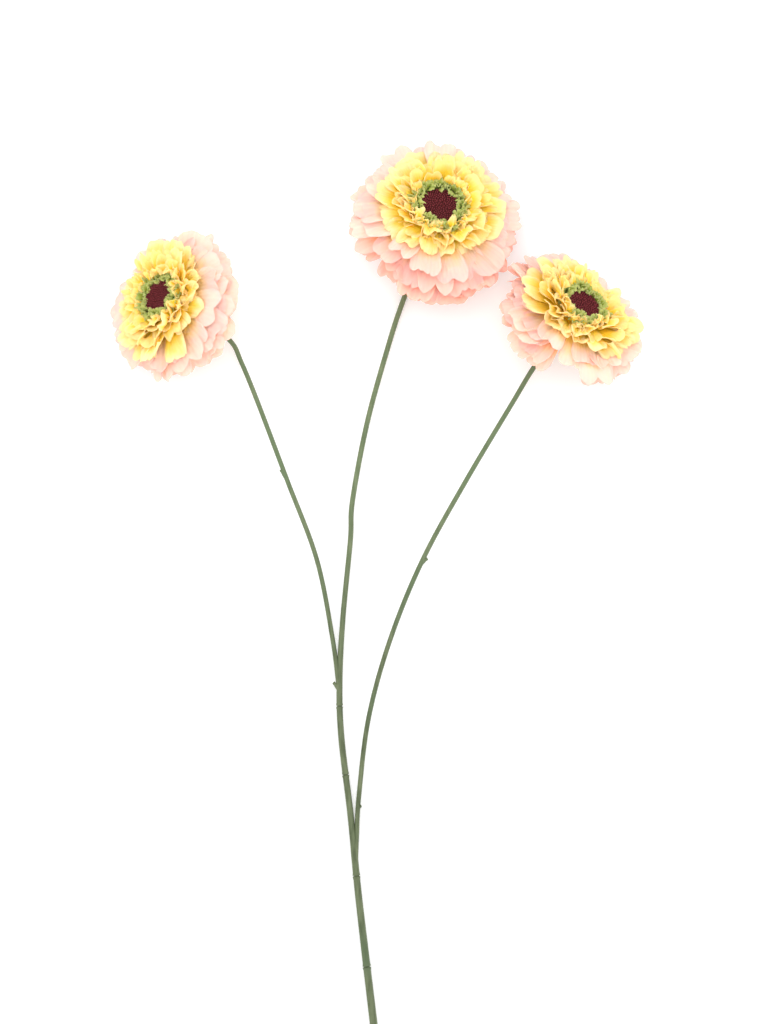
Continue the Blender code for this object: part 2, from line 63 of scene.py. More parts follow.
# Reach is how long a bloom's cloth petals are beside its solids'. Bulges say where the pink petals
# are longer or shorter, and swells where the yellow ones are: the heading, the spread to each side,
# and the change in length. Tucks are bulges of the lowest pink petals only, and blushes say in the
# same way where the pink petals are paler. A parting is where the pink petals leave a gap: its heading, and how far
# the nearest petals are turned away from it. Crowding is how many pink petals a layer has, beside
# the layer's own count.
Bloom = namedtuple(
    "Bloom",
    "name centre tilt heading scale seed reach blushes bulges tucks swells parting crowding",
)
BLOOMS = (
    Bloom(
        name="top",
        centre=(33.8, 258.5, 33.5),
        tilt=29.0,
        heading=74.0,
        scale=1.03,
        seed=11,
        reach=0.955,
        blushes=((100.0, 100.0, 0.6), (262.0, 40.0, -0.35)),
        bulges=(
            (98.0, 26.0, 0.07),
            (55.0, 14.0, -0.12),
            (338.0, 22.0, -0.02),
            (268.0, 24.0, 0.08),
            (222.0, 18.0, -0.12),
            (192.0, 10.0, 0.05),
        ),
        tucks=(),
        swells=((270.0, 50.0, -0.08), (0.0, 60.0, 0.04)),
        parting=(208.0, 6.0),
        crowding=1.15,
    ),
    Bloom(
        name="left",
        centre=(-116.5, 209.5, 35.0),
        tilt=42.0,
        heading=156.0,
        scale=0.92,
        seed=23,
        reach=0.95,
        blushes=((0.0, 70.0, 0.9), (95.0, 60.0, 0.6), (245.0, 80.0, 0.5)),
        bulges=(
            (141.0, 16.0, -0.25),
            (108.0, 14.0, 0.08),
            (178.0, 14.0, 0.10),
            (36.0, 22.0, -0.11),
            (8.0, 12.0, -0.06),
            (308.0, 20.0, 0.06),
            (250.0, 20.0, -0.04),
        ),
        tucks=(),
        swells=(
            (262.0, 42.0, 0.38),
            (95.0, 45.0, 0.18),
            (0.0, 40.0, -0.08),
            (308.0, 26.0, 0.22),
            (214.0, 16.0, -0.20),
            (134.0, 18.0, -0.28),
        ),
        parting=(310.0, 0.0),
        crowding=0.85,
    ),
    Bloom(
        name="right",
        centre=(111.0, 202.5, 37.5),
        tilt=46.0,
        heading=50.0,
        scale=0.95,
        seed=37,
        reach=0.95,
        blushes=((0.0, 90.0, 0.5), (180.0, 90.0, 0.55)),
        bulges=(
            (100.0, 22.0, 0.10),
            (38.0, 22.0, -0.12),
            (14.0, 14.0, -0.07),
            (162.0, 18.0, -0.20),
            (214.0, 9.0, -0.20),
            (256.0, 16.0, -0.14),
            (267.0, 9.0, -0.12),
            (281.0, 6.0, 0.08),
            (292.0, 12.0, -0.06),
        ),
        tucks=((264.0, 26.0, -0.50),),
        swells=(
            (175.0, 40.0, 0.28),
            (165.0, 26.0, 0.12),
            (207.0, 14.0, 0.08),
            (312.0, 40.0, 0.20),
            (240.0, 20.0, -0.08),
            (38.0, 24.0, -0.24),
            (356.0, 14.0, -0.14),
        ),
        parting=(241.0, 15.0),
        crowding=1.0,
    ),
)
PARTING_SPREAD = 45.0
TUCKED_LAYERS = 2

# Layers of petals, at a bloom scale of 1. Rise and droop are the slope at a petal's root and tip.
FULL_AT = 0.36
SWELL_POWER = 0.6
WIDEST_AT = 0.72
TIP_SHARE = 0.72
TURN_POWER = 1.5
PATH_STEPS = 24
Layer = namedtuple("Layer", "count root_radius root_height length fill rise droop cup ruffle")
BRACT_LAYERS = (Layer(8, 3.2, -19.0, 15.5, 0.84, 34.0, 10.0, 0.10, 0.0),)
OUTER_LAYERS = (
    Layer(10, 7.0, -7.9, 41.0, 0.92, 2.0, -50.0, -0.20, 0.8),
    Layer(10, 7.0, -5.9, 42.5, 0.93, 9.0, -38.0, -0.16, 0.9),
    Layer(11, 7.0, -4.2, 42.0, 0.94, 16.0, -26.0, -0.12, 0.9),
)
INNER_LAYERS = (
    Layer(11, 8.0, -0.7, 30.5, 0.92, 25.0, -14.0, -0.08, 0.9),
    Layer(10, 9.0, -0.1, 24.8, 0.90, 35.0, 0.0, 0.10, 0.8),
    Layer(9, 9.8, 0.6, 20.0, 0.88, 47.0, 16.0, 0.18, 0.7),
    Layer(8, 11.0, 1.4, 15.0, 0.74, 62.0, 42.0, 0.25, 0.4),
)
RUFFLE_TURNS = 5.0
RUFFLE_SHEAR = 2.0
TIP_DRAW = 2.0
ROLL_DRAW = 8.0
NOTCH_DEPTH = 0.10
NOTCH_WIDTH = 0.3
ROOT_START = 0.04

# How the cloth of a layer is cut: its lobes, how deep the notches between them reach, how round
# and how wide its end is, and its width as a share of its solid's. How it is pressed, in mm and
# degrees: the swell of a lobe, the ruffle of its rim and its count, how far its sides turn up, its
# twist, its bend to one side and the curl of its tip. Then how far its rise, in degrees, and its
# length stray from its layer's, and the rows and columns of its mesh.
Cloth = namedtuple(
    "Cloth",
    "lobes lobe_depth tip_round tip_share widen swell ruffle ruffles channel twist bend curl"
    " rise_draw length_draw rows columns",
)
OUTER_CLOTH = Cloth(2, 0.045, 0.16, 0.94, 1.36, 0.6, 1.2, 1.3, 0.05, 9.0, 2.5, 2.4, 4.0, 0.05, 22, 24)
INNER_CLOTH = Cloth(2, 0.060, 0.18, 0.94, 1.42, 0.7, 1.0, 1.2, 0.16, 16.0, 2.2, 2.4, 7.0, 0.11, 16, 18)
FILLER_CLOTH = Cloth(2, 0.080, 0.22, 0.90, 1.10, 0.8, 1.0, 1.5, 0.50, 45.0, 3.0, 3.2, 11.0, 0.14, 14, 12)
STRAP_CLOTH = Cloth(2, 0.070, 0.20, 0.90, 1.00, 0.7, 1.2, 1.2, 0.80, 40.0, 2.4, 2.4, 10.0, 0.18, 16, 12)
FRILL_CLOTH = Cloth(4, 0.380, 0.15, 1.00, 1.30, 0.4, 0.7, 2.2, 0.20, 50.0, 1.2, 1.0, 26.0, 0.32, 8, 16)
BRACT_CLOTH = Cloth(1, 0.000, 0.45, 0.72, 1.15, 0.2, 0.0, 1.0, 0.15, 3.0, 0.2, 0.4, 2.5, 0.06, 12, 8)
LOBE_SHARPNESS = 0.55
SHINGLE_ROLL = 7.0
CURL_STARTS = 0.62
CRUMPLE_WAVES = 4
CRUMPLE_HEIGHT = 0.45
CRUMPLE_TURNS = (9.0, 5.0)
FOLD_SHORTENING = 0.16
FOLD_RISE = 7.0
NIBBLE_DEPTH = 0.010
NIBBLE_TURNS = 13.0
FINE_RUFFLE = 0.35
FINE_TURNS = 2.3

# The petals as they are cut from cloth: more of them than the solids have, on the same rule.
PINK_SHEETS = (
    Layer(12, 7.0, -7.9, 41.5, 0.92, 2.0, -50.0, -0.20, 0.8),
    Layer(13, 7.0, -5.9, 42.8, 0.93, 9.0, -38.0, -0.16, 0.9),
    Layer(13, 7.0, -4.2, 42.2, 0.94, 16.0, -26.0, -0.12, 0.9),
    Layer(13, 7.4, -2.6, 37.0, 0.94, 21.0, -20.0, -0.08, 0.9),
)
PINK_TONES = (0.0, 0.3, 0.65, 1.0)
YELLOW_SHEETS = (
    Layer(17, 8.0, -0.9, 31.5, 0.98, 25.0, -14.0, -0.08, 0.9),
    Layer(15, 9.0, -0.1, 25.5, 0.90, 35.0, 0.0, 0.10, 0.8),
    Layer(13, 9.8, 0.6, 20.5, 0.88, 47.0, 16.0, 0.18, 0.7),
    Layer(12, 11.0, 1.4, 15.0, 0.80, 62.0, 42.0, 0.25, 0.4),
)
YELLOW_TONES = (0.9, 0.4, 0.2, 0.1)
FILLER_SHEETS = (
    Layer(12, 8.6, -0.4, 27.5, 0.62, 31.0, -4.0, 0.0, 1.2),
    Layer(11, 9.4, 0.2, 22.5, 0.62, 42.0, 12.0, 0.1, 1.2),
    Layer(10, 10.4, 1.0, 17.5, 0.60, 56.0, 34.0, 0.2, 1.0),
)
FILLER_TONES = (0.5, 0.2, 0.1)

# Narrow petals that stand up beside the disc and lean over it: the heading of each, for each bloom.
STRAP_LAYER = Layer(13, 13.6, 3.4, 13.0, 0.66, 66.0, 112.0, 0.0, 0.6)
STRAP_TONE = 0.3
STRAPS = {
    "top": (196.0, 214.0, 232.0, 250.0, 272.0, 290.0),
    "left": (-74.0, -50.0, -22.0, 4.0, 30.0, 52.0),
    "right": (188.0, 212.0, 234.0, 258.0, 280.0, 300.0),
}
TONE_DRAW = 0.25

# Green frill round the disc, as rings of small cut tongues on a dark band of painted shade.
FRILL_LAYERS = (
    Layer(24, 12.8, 7.4, 5.4, 0.95, 40.0, 4.0, 0.1, 0.3),
    Layer(24, 12.4, 7.8, 5.6, 0.95, 58.0, 34.0, 0.1, 0.3),
    Layer(22, 11.9, 8.0, 5.2, 0.95, 76.0, 80.0, 0.1, 0.3),
    Layer(20, 11.3, 8.0, 5.2, 0.95, 92.0, 140.0, 0.1, 0.3),
)
FRILL_TONES = (0.0, 0.0, 0.2, 0.4)
BAND_PROFILE = ((12.9, 7.4), (13.2, 8.2), (12.4, 9.3), (11.3, 9.5), (10.5, 8.8), (10.4, 7.4))
BAND_SIDES = 48

# Disc: a shallow dish set with short bristles in the spiral that seed heads follow.
DISC_PROFILE = (
    (0.0, 9.0),
    (3.0, 9.1),
    (6.2, 9.5),
    (8.6, 9.8),
    (9.8, 9.5),
    (10.3, 8.6),
    (10.3, 7.3),
    (0.0, 7.3),
)
DISC_SIDES = 48
BRISTLE_COUNT = 240
BRISTLE_REACH = 10.1
BRISTLE_SIDES = 5
GOLDEN_ANGLE = 137.508

# Hubs that hold the petal roots: radius, low and high end.
OUTER_HUB = (12.5, -9.0, -2.0)
INNER_HUB = (14.0, -1.7, 7.0)
HUB_SIDES = 40
HUB_BEVEL = 1.6
LOWEST_CLOTH = 0.2

CALYX_PROFILE = (
    (0.0, -9.3),
    (11.2, -9.3),
    (11.8, -10.2),
    (11.6, -11.2),
    (9.8, -13.7),
    (6.4, -17.3),
    (3.6, -20.9),
    (2.6, -24.0),
    (0.0, -24.0),
)
CALYX_BASE = -24.0
CALYX_SIDES = 40

# Stem. Each route is (x, y, z, radius), from its lower end to just below its bloom.
MAIN_ROUTE = (
    (10.0, -300.0, 2.15, 2.15),
    (-2.6, -194.5, 2.6, 2.15),
    (-10.7, -125.6, 3.0, 1.95),
    (-15.1, -80.8, 3.3, 1.80),
    (-20.4, -36.0, 3.7, 1.75),
    (-21.4, -5.0, 4.0, 1.70),
    (-19.5, 31.2, 4.3, 1.50),
    (-15.2, 76.0, 4.6, 1.45),
    (-14.0, 98.4, 4.7, 1.45),
    (-5.5, 143.2, 4.5, 1.45),
    (6.9, 188.0, 3.8, 1.45),
    (14.2, 210.4, 3.3, 1.45),
    (21.6, 229.0, 3.4, 1.50),
)
LEFT_ROUTE = (
    (-21.6, -10.0, 3.9, 1.25),
    (-25.4, 20.0, 4.4, 1.30),
    (-34.3, 64.8, 5.8, 1.30),
    (-51.0, 109.6, 7.6, 1.30),
    (-67.9, 154.4, 9.0, 1.30),
    (-77.1, 176.8, 9.6, 1.30),
    (-83.6, 189.0, 10.2, 1.35),
)
RIGHT_ROUTE = (
    (-12.2, -111.0, 3.1, 1.20),
    (-11.6, -92.0, 3.3, 1.30),
    (-10.4, -69.6, 3.7, 1.35),
    (-4.8, -24.8, 4.6, 1.35),
    (7.6, 20.0, 6.2, 1.35),
    (25.9, 64.8, 8.2, 1.35),
    (50.4, 109.6, 10.2, 1.35),
    (77.1, 154.4, 11.6, 1.35),
    (87.9, 172.4, 12.4, 1.40),
)
ROUTES = (("top", MAIN_ROUTE), ("left", LEFT_ROUTE), ("right", RIGHT_ROUTE))
NECK_RADIUS = 1.55
NECK_PULL = 1.1
ROUTE_PIECES = 20
STATION_SPACING = 2.5
RING_LEVELS = (-166.0, -115.0, -58.5, -18.5)
RING_CLEARANCE = 2.2
RING_STEPS = (
    (-2.0, 1.00),
    (-1.0, 1.09),
    (-0.42, 1.16),
    (-0.2, 0.82),
    (0.2, 0.82),
    (0.42, 1.16),
    (1.0, 1.09),
    (2.0, 1.00),
)
STEM_SIDES = 28
RIB_COUNT = 7
RIB_HEIGHT = 0.035
SWELL_COUNT = 3

# Leaf scars: (x, y, z) of the root, heading in the plane, length.
SCARS = (
    ((-52.0, 112.2, 7.7), 128.0, 4.4),
    ((25.2, 63.2, 8.1), 33.0, 4.0),
    ((-21.9, -8.4, 4.0), 132.0, 4.4),
    ((-10.8, -76.0, 3.6), 28.0, 2.0),
)
SCAR_RISE = 0.12
SCAR_SHAPE = ((0.0, 1.55), (0.35, 1.25), (0.6, 0.95), (0.82, 0.9), (0.95, 1.0), (1.0, 0.8))

# The photograph's frame: its width and height in pixels, the size of a pixel, and the place of the
# view's middle on the surface.
PHOTO_SIZE = (768, 1024)
PIXEL = 0.56
VIEW_MIDDLE = (3.9, 91.7)
BLOOM_PLANE = 35.0
SENSOR = 36.0
LENS = 135.0

COLOUR_A, COLOUR_B, COLOUR_OUT = 6, 7, 2
FLOAT_A, FLOAT_B = 2, 3


def linear(code):
    """An sRGB hex colour as linear red, green and blue."""
    parts = [int(code[start : start + 2], 16) / 255.0 for start in (0, 2, 4)]
    return [part / 12.92 if part <= 0.04045 else ((part + 0.055) / 1.055) ** 2.4 for part in parts]


def opaque(colour):
    return (*colour[:3], 1.0)


def add_node(tree, kind, inputs=None, stops=(), **settings):
    """Adds a node with its settings. An input is a value, or the socket that feeds it."""
    item = tree.nodes.new(kind)
    for name, value in settings.items():
        setattr(item, name, value)
    for key, value in (inputs or {}).items():
        if isinstance(value, bpy.types.NodeSocket):
            tree.links.new(value, item.inputs[key])
        else:
            item.inputs[key].default_value = value
    for number, (place, colour) in enumerate(stops):
        ramp = item.color_ramp.elements
        element = ramp[number] if number < 2 else ramp.new(place)
        element.position = place
        element.color = opaque(colour)
    return item


def new_material(name, roughness):
    material = bpy.data.materials.new(name)
    material.use_nodes = True
    tree = material.node_tree
    shader = tree.nodes["Principled BSDF"]
    shader.inputs["Roughness"].default_value = roughness
    return material, tree, shader


def per_metre(millimetres):
    """The scale of a pattern whose features lie this far apart."""
    return 1.0 / (millimetres * MM)


def petal_cloth(name, stops, pale_stops):
    """Polyester cloth, dyed by hand and heat-pressed: soft and matt, with a faint sheen at a glance,
    pressed veins that run from the root to the rim, and dye that bleeds from one colour to the next."""
    look = bpy.context.scene.zinnia_cloth
    material, tree, shader = new_material(name, 0.75)
    petal = add_node(tree, "ShaderNodeAttribute", attribute_name="petal_place")
    axes = add_node(tree, "ShaderNodeSeparateXYZ", {"Vector": petal.outputs["Vector"]})
    along, across, tone = axes.outputs
    where = add_node(tree, "ShaderNodeTexCoord").outputs["Object"]
    blotch = add_node(
        tree,
        "ShaderNodeTexNoise",
        {"Vector": where, "Scale": per_metre(look.dye_spacing), "Detail": 2.0},
    ).outputs["Fac"]
    bleed = add_node(
        tree,
        "ShaderNodeMapRange",
        {"Value": blotch, "To Min": -0.5 * look.dye_bleed, "To Max": 0.5 * look.dye_bleed},
    ).outputs["Result"]
    side = add_node(tree, "ShaderNodeMath", {0: across, 1: across}, operation="MULTIPLY").outputs[0]
    edge = add_node(tree, "ShaderNodeMath", {0: side, 1: side}, operation="MULTIPLY").outputs[0]
    widened = add_node(
        tree,
        "ShaderNodeMath",
        {0: edge, 1: look.side_paling, 2: 1.0},
        operation="MULTIPLY_ADD",
    ).outputs[0]
    widened = add_node(tree, "ShaderNodeMath", {0: widened, 1: along}, operation="MULTIPLY").outputs[0]
    strayed = add_node(tree, "ShaderNodeMath", {0: widened, 1: bleed}, operation="ADD").outputs[0]
    dye = add_node(tree, "ShaderNodeValToRGB", {"Fac": strayed}, stops=stops).outputs["Color"]
    pale_dye = add_node(tree, "ShaderNodeValToRGB", {"Fac": strayed}, stops=pale_stops).outputs["Color"]
    pale_share = add_node(
        tree, "ShaderNodeMath", {0: tone, 1: 0.0}, operation="ADD", use_clamp=True
    ).outputs[0]
    paled = add_node(
        tree,
        "ShaderNodeMix",
        {0: pale_share, COLOUR_A: dye, COLOUR_B: pale_dye},
        data_type="RGBA",
    ).outputs[COLOUR_OUT]
    vein_turns = add_node(
        tree,
        "ShaderNodeMath",
        {0: across, 1: look.vein_count * math.pi, 2: blotch},
        operation="MULTIPLY_ADD",
    ).outputs[0]
    veins = add_node(tree, "ShaderNodeMath", {0: vein_turns}, operation="SINE").outputs[0]
    vein_shade = add_node(
        tree,
        "ShaderNodeMapRange",
        {"Value": veins, "From Min": -1.0, "To Min": 1.0 - look.vein_shade, "To Max": 1.0},
    ).outputs["Result"]
    veined = add_node(
        tree,
        "ShaderNodeMix",
        {0: 1.0, COLOUR_A: paled, COLOUR_B: vein_shade},
        data_type="RGBA",
        blend_type="MULTIPLY",
    ).outputs[COLOUR_OUT]
    tree.links.new(veined, shader.inputs["Base Color"])
    weave = add_node(
        tree,
        "ShaderNodeTexNoise",
        {"Vector": where, "Scale": per_metre(look.weave_spacing), "Detail": 1.0},
    ).outputs["Fac"]
    relief = add_node(
        tree,
        "ShaderNodeMath",
        {0: weave, 1: look.weave_share, 2: veins},
        operation="MULTIPLY_ADD",
    ).outputs[0]
    bump = add_node(
        tree,
        "ShaderNodeBump",
        {"Height": relief, "Strength": 0.35, "Distance": 0.15 * MM},
    )
    tree.links.new(bump.outputs["Normal"], shader.inputs["Normal"])
    shader.inputs["Specular IOR Level"].default_value = 0.12
    shader.inputs["Sheen Weight"].default_value = 0.06
    shader.inputs["Sheen Roughness"].default_value = 0.5
    shader.subsurface_method = "BURLEY"
    shader.inputs["Subsurface Weight"].default_value = look.glow
    shader.inputs["Subsurface Radius"].default_value = (1.0, 0.8, 0.5)
    shader.inputs["Subsurface Scale"].default_value = look.glow_depth
    return material


def frill_cloth():
    """Green polyester cut into a toothed fringe: matt, with paler cut teeth and darker roots."""
    look = bpy.context.scene.zinnia_frill
    material, tree, shader = new_material("Toothed green polyester fringe", 0.8)
    petal = add_node(tree, "ShaderNodeAttribute", attribute_name="petal_place")
    axes = add_node(tree, "ShaderNodeSeparateXYZ", {"Vector": petal.outputs["Vector"]})
    where = add_node(tree, "ShaderNodeTexCoord")
    blotch = add_node(
        tree,
        "ShaderNodeTexNoise",
        {"Vector": where.outputs["Object"], "Scale": per_metre(2.5), "Detail": 2.0},
    )
    bleed = add_node(
        tree,
        "ShaderNodeMath",
        {0: blotch.outputs["Fac"], 1: 0.5, 2: axes.outputs["X"]},
        operation="MULTIPLY_ADD",
    )
    place = add_node(tree, "ShaderNodeMath", {0: bleed.outputs[0], 1: 0.25}, operation="SUBTRACT")
    dye = add_node(
        tree,
        "ShaderNodeValToRGB",
        {"Fac": place.outputs[0]},
        stops=((0.15, look.root_colour), (0.95, look.tooth_colour), (0.55, look.body_colour)),
    )
    tree.links.new(dye.outputs["Color"], shader.inputs["Base Color"])
    shader.inputs["Sheen Weight"].default_value = 0.15
    shader.inputs["Subsurface Weight"].default_value = 0.1
    shader.inputs["Subsurface Scale"].default_value = 1.0 * MM
    return material


def painted_shade_band():
    """Brown felt-like band under the fringe, standing in as painted shade: dark and dull, so that the gaps in the
    fringe read as deep.
    """
    look = bpy.context.scene.zinnia_frill
    material, tree, shader = new_material("Brown band, painted shade", 0.95)
    where = add_node(tree, "ShaderNodeTexCoord")
    fuzz = add_node(
        tree,
        "ShaderNodeTexNoise",
        {"Vector": where.outputs["Object"], "Scale": per_metre(0.8), "Detail": 3.0},
    )
    shade = add_node(
        tree,
        "ShaderNodeValToRGB",
        {"Fac": fuzz.outputs["Fac"]},
        stops=((0.3, look.band_shade_colour), (0.75, look.root_colour)),
    )
    tree.links.new(shade.outputs["Color"], shader.inputs["Base Color"])
    return material


def disc_flock():
    """Flocked burgundy bristles: velvety and redder at their tips, with painted shade that darkens the dish and the
    feet of the bristles between them.
    """
    look = bpy.context.scene.zinnia_disc
    material, tree, shader = new_material("Burgundy flock", 0.9)
    bristle = add_node(tree, "ShaderNodeAttribute", attribute_name="bristle_height")
    where = add_node(tree, "ShaderNodeTexCoord")
    fuzz = add_node(
        tree,
        "ShaderNodeTexNoise",
        {"Vector": where.outputs["Object"], "Scale": per_metre(1.6), "Detail": 2.0},
    )
    mixed = add_node(
        tree,
        "ShaderNodeMath",
        {0: fuzz.outputs["Fac"], 1: 0.6, 2: bristle.outputs["Fac"]},
        operation="MULTIPLY_ADD",
    )
    place = add_node(tree, "ShaderNodeMath", {0: mixed.outputs[0], 1: 0.3}, operation="SUBTRACT")
    # The ramp runs from painted shade on the dish and at the bristles' feet up to their redder tips.
    shade = add_node(
        tree,
        "ShaderNodeValToRGB",
        {"Fac": place.outputs[0]},
        stops=((0.1, look.painted_depth_shade), (1.0, look.tip_colour), (0.6, look.body_colour)),
    )
    tree.links.new(shade.outputs["Color"], shader.inputs["Base Color"])
    shader.inputs["Sheen Weight"].default_value = 0.2
    shader.inputs["Sheen Roughness"].default_value = 0.4
    shader.inputs["Specular IOR Level"].default_value = 0.2
    shader.inputs["Sheen Tint"].default_value = opaque(look.tip_colour)
    return material


def stem_vinyl(name, look):
    """Moulded vinyl over wire, brushed with thin paint: a dull satin, mottled sage and olive, with streaks that run
    along the stem, greener patches and a paler tone towards the blooms."""
    material, tree, shader = new_material(name, 0.62)
    where = add_node(tree, "ShaderNodeTexCoord")
    drawn_out = add_node(
        tree,
        "ShaderNodeMapping",
        {"Vector": where.outputs["Object"], "Scale": (1.0, look.streak_stretch, 1.0)},
    )
    mottle = add_node(
        tree,
        "ShaderNodeTexNoise",
        {
            "Vector": drawn_out.outputs["Vector"],
            "Scale": per_metre(look.mottle_spacing),
            "Detail": 4.0,
            "Roughness": 0.6,
        },
    )
    shade = add_node(
        tree,
        "ShaderNodeValToRGB",
        {"Fac": mottle.outputs["Fac"]},
        stops=(
            (0.30, look.dark_colour),
            (0.72, look.light_colour),
            (0.46, look.body_colour),
        ),
    )
    patches = add_node(
        tree,
        "ShaderNodeTexNoise",
        {"Vector": where.outputs["Object"], "Scale": per_metre(look.patch_spacing), "Detail": 1.0},
    )
    green = add_node(
        tree,
        "ShaderNodeMapRange",
        {"Value": patches.outputs["Fac"], "From Min": 0.52, "From Max": 0.66, "To Max": 0.7},
    )
    patched = add_node(
        tree,
        "ShaderNodeMix",
        {
            0: green.outputs["Result"],
            COLOUR_A: shade.outputs["Color"],
            COLOUR_B: opaque(look.patch_colour),
        },
        data_type="RGBA",
    )
    place = add_node(tree, "ShaderNodeSeparateXYZ", {"Vector": where.outputs["Object"]})
    upper = add_node(
        tree,
        "ShaderNodeMapRange",
        {"Value": place.outputs["Y"], "From Min": 0.0, "From Max": 0.12, "To Max": 0.3},
    )
    yellowed = add_node(
        tree,
        "ShaderNodeMix",
        {
            0: upper.outputs["Result"],
            COLOUR_A: patched.outputs[COLOUR_OUT],
            COLOUR_B: opaque(look.upper_colour),
        },
        data_type="RGBA",
    )
    tree.links.new(yellowed.outputs[COLOUR_OUT], shader.inputs["Base Color"])
    grain = add_node(
        tree,
        "ShaderNodeTexNoise",
        {"Vector": drawn_out.outputs["Vector"], "Scale": per_metre(0.9), "Detail": 2.0},
    )
    bump = add_node(
        tree,
        "ShaderNodeBump",
        {"Height": grain.outputs["Fac"], "Strength": 0.4, "Distance": 0.15 * MM},
    )
    tree.links.new(bump.outputs["Normal"], shader.inputs["Normal"])
    shader.inputs["Specular IOR Level"].default_value = 0.35
    return material


def floor_paper():
    """Matt white acrylic, faintly lit from below as on a light table, so that shadows stay pale."""
    look = bpy.context.scene.zinnia_stage
    material, tree, shader = new_material("Matt white acrylic", 0.9)
    shader.inputs["Base Color"].default_value = opaque(look.floor_colour)
    shader.inputs["Emission Color"].default_value = opaque(look.floor_colour)
    shader.inputs["Emission Strength"].default_value = look.floor_glow
    shader.inputs["Specular IOR Level"].default_value = 0.1
    return material


def bloom_matrix(bloom):
    """Turns the bloom's own axis, +Z, towards its heading by its tilt, then moves it to its centre."""
    heading = Matrix.Rotation(math.radians(bloom.heading), 4, "Z")
    tilt = Matrix.Rotation(math.radians(bloom.tilt), 4, "Y")
    return Matrix.Translation(bloom.centre) @ heading @ tilt @ heading.inverted()


def in_metres(matrix):
    """The same move for a mesh in metres as the matrix makes in millimetres."""
    return Matrix.Scale(MM, 4) @ matrix @ Matrix.Scale(1.0 / MM, 4)


def add_object(name, mesh):
    item = bpy.data.objects.new(name, mesh)
    bpy.context.scene.collection.objects.link(item)
    return item


def evaluated_mesh(item, name):
    bpy.context.view_layer.update()
    graph = bpy.context.evaluated_depsgraph_get()
    mesh = bpy.data.meshes.new_from_object(item.evaluated_get(graph))
    mesh.name = name
    mesh.transform(item.matrix_world)
    return mesh


def weld(mesh):
    """Merges points that lie on each other, such as a tube's caps and its rim, and faces it out."""
    mesh_maker = bmesh.new()
    mesh_maker.from_mesh(mesh)
    bmesh.ops.remove_doubles(mesh_maker, verts=mesh_maker.verts, dist=WELD_REACH * MM)
    bmesh.ops.recalc_face_normals(mesh_maker, faces=mesh_maker.faces)
    mesh_maker.to_mesh(mesh)
    mesh_maker.free()


def soften(mesh, sharp_over):
    mesh.shade_smooth()
    mesh.set_sharp_from_angle(angle=math.radians(sharp_over))


def install(piece, node):
    """Puts a finished piece in the place of its solid."""
    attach(piece, "root")
    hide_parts(node)


def petal_path(layer, draw, scale):
    """Radius, height and angle along the petal's middle, from its root to its tip."""
    rise = layer.rise + draw.angle
    droop = layer.droop + TIP_DRAW * draw.angle
    shares = np.linspace(0.0, 1.0, PATH_STEPS + 1)
    angles = np.radians(rise + (droop - rise) * shares ** TURN_POWER)
    step = layer.length * scale * draw.length / PATH_STEPS
    out = np.concatenate(([0.0], np.cumsum(step * np.cos(angles))[:-1]))
    up = np.concatenate(([0.0], np.cumsum(step * np.sin(angles))[:-1]))
    return shares, layer.root_radius * scale + out, layer.root_height * scale + up, angles


def half_width(layer, cloth, share, radius):
    """Half the petal's width: it swells with its distance from the axis and draws in at its tip."""
    sector = 2.0 * math.pi * radius / layer.count
    full = np.minimum(share / FULL_AT, 1.0) ** SWELL_POWER
    past = np.maximum(share - WIDEST_AT, 0.0) / (1.0 - WIDEST_AT)
    drawn_in = 1.0 - (1.0 - cloth.tip_share) * past * past
    return 0.5 * layer.fill * cloth.widen * sector * full * drawn_in


Draw = namedtuple("Draw", "spin angle length roll notch phase")
Wear = namedtuple("Wear", "lobes twist bend curl ruffle tone crumples")


def draw_petal(chance, index, layer, cloth, offset):
    """One petal's own turn round the axis, rise, length, roll, notch and ruffle."""
    sector = 360.0 / layer.count
    spare = 0.5 * sector * (1.0 - layer.fill)
    spin = sector * (index + offset) + chance.uniform(-spare, spare)
    angle = chance.uniform(-cloth.rise_draw, cloth.rise_draw)
    length = 1.0 + chance.uniform(-cloth.length_draw, cloth.length_draw)
    roll = SHINGLE_ROLL + chance.uniform(-ROLL_DRAW, ROLL_DRAW)
    notch = NOTCH_DEPTH * chance.random() ** 2
    phase = chance.uniform(0.0, 2.0 * math.pi)
    return Draw(math.radians(spin), angle, length, math.radians(roll), notch, phase)


def draw_wear(chance, cloth, tone):
    """How this one petal was cut, pressed and bent, and how its dye took."""
    spare = min(cloth.lobes - 1, 1)
    return Wear(
        lobes=cloth.lobes + chance.randint(-spare, spare),
        twist=math.radians(chance.uniform(-cloth.twist, cloth.twist)),
        bend=chance.uniform(-cloth.bend, cloth.bend),
        curl=chance.uniform(-cloth.curl, cloth.curl),
        ruffle=chance.uniform(0.2, 1.6) * cloth.ruffle,
        tone=tone + chance.uniform(-TONE_DRAW, TONE_DRAW),
        crumples=[[chance.uniform(-1.0, 1.0) for part in range(3)] for wave in range(CRUMPLE_WAVES)],
    )


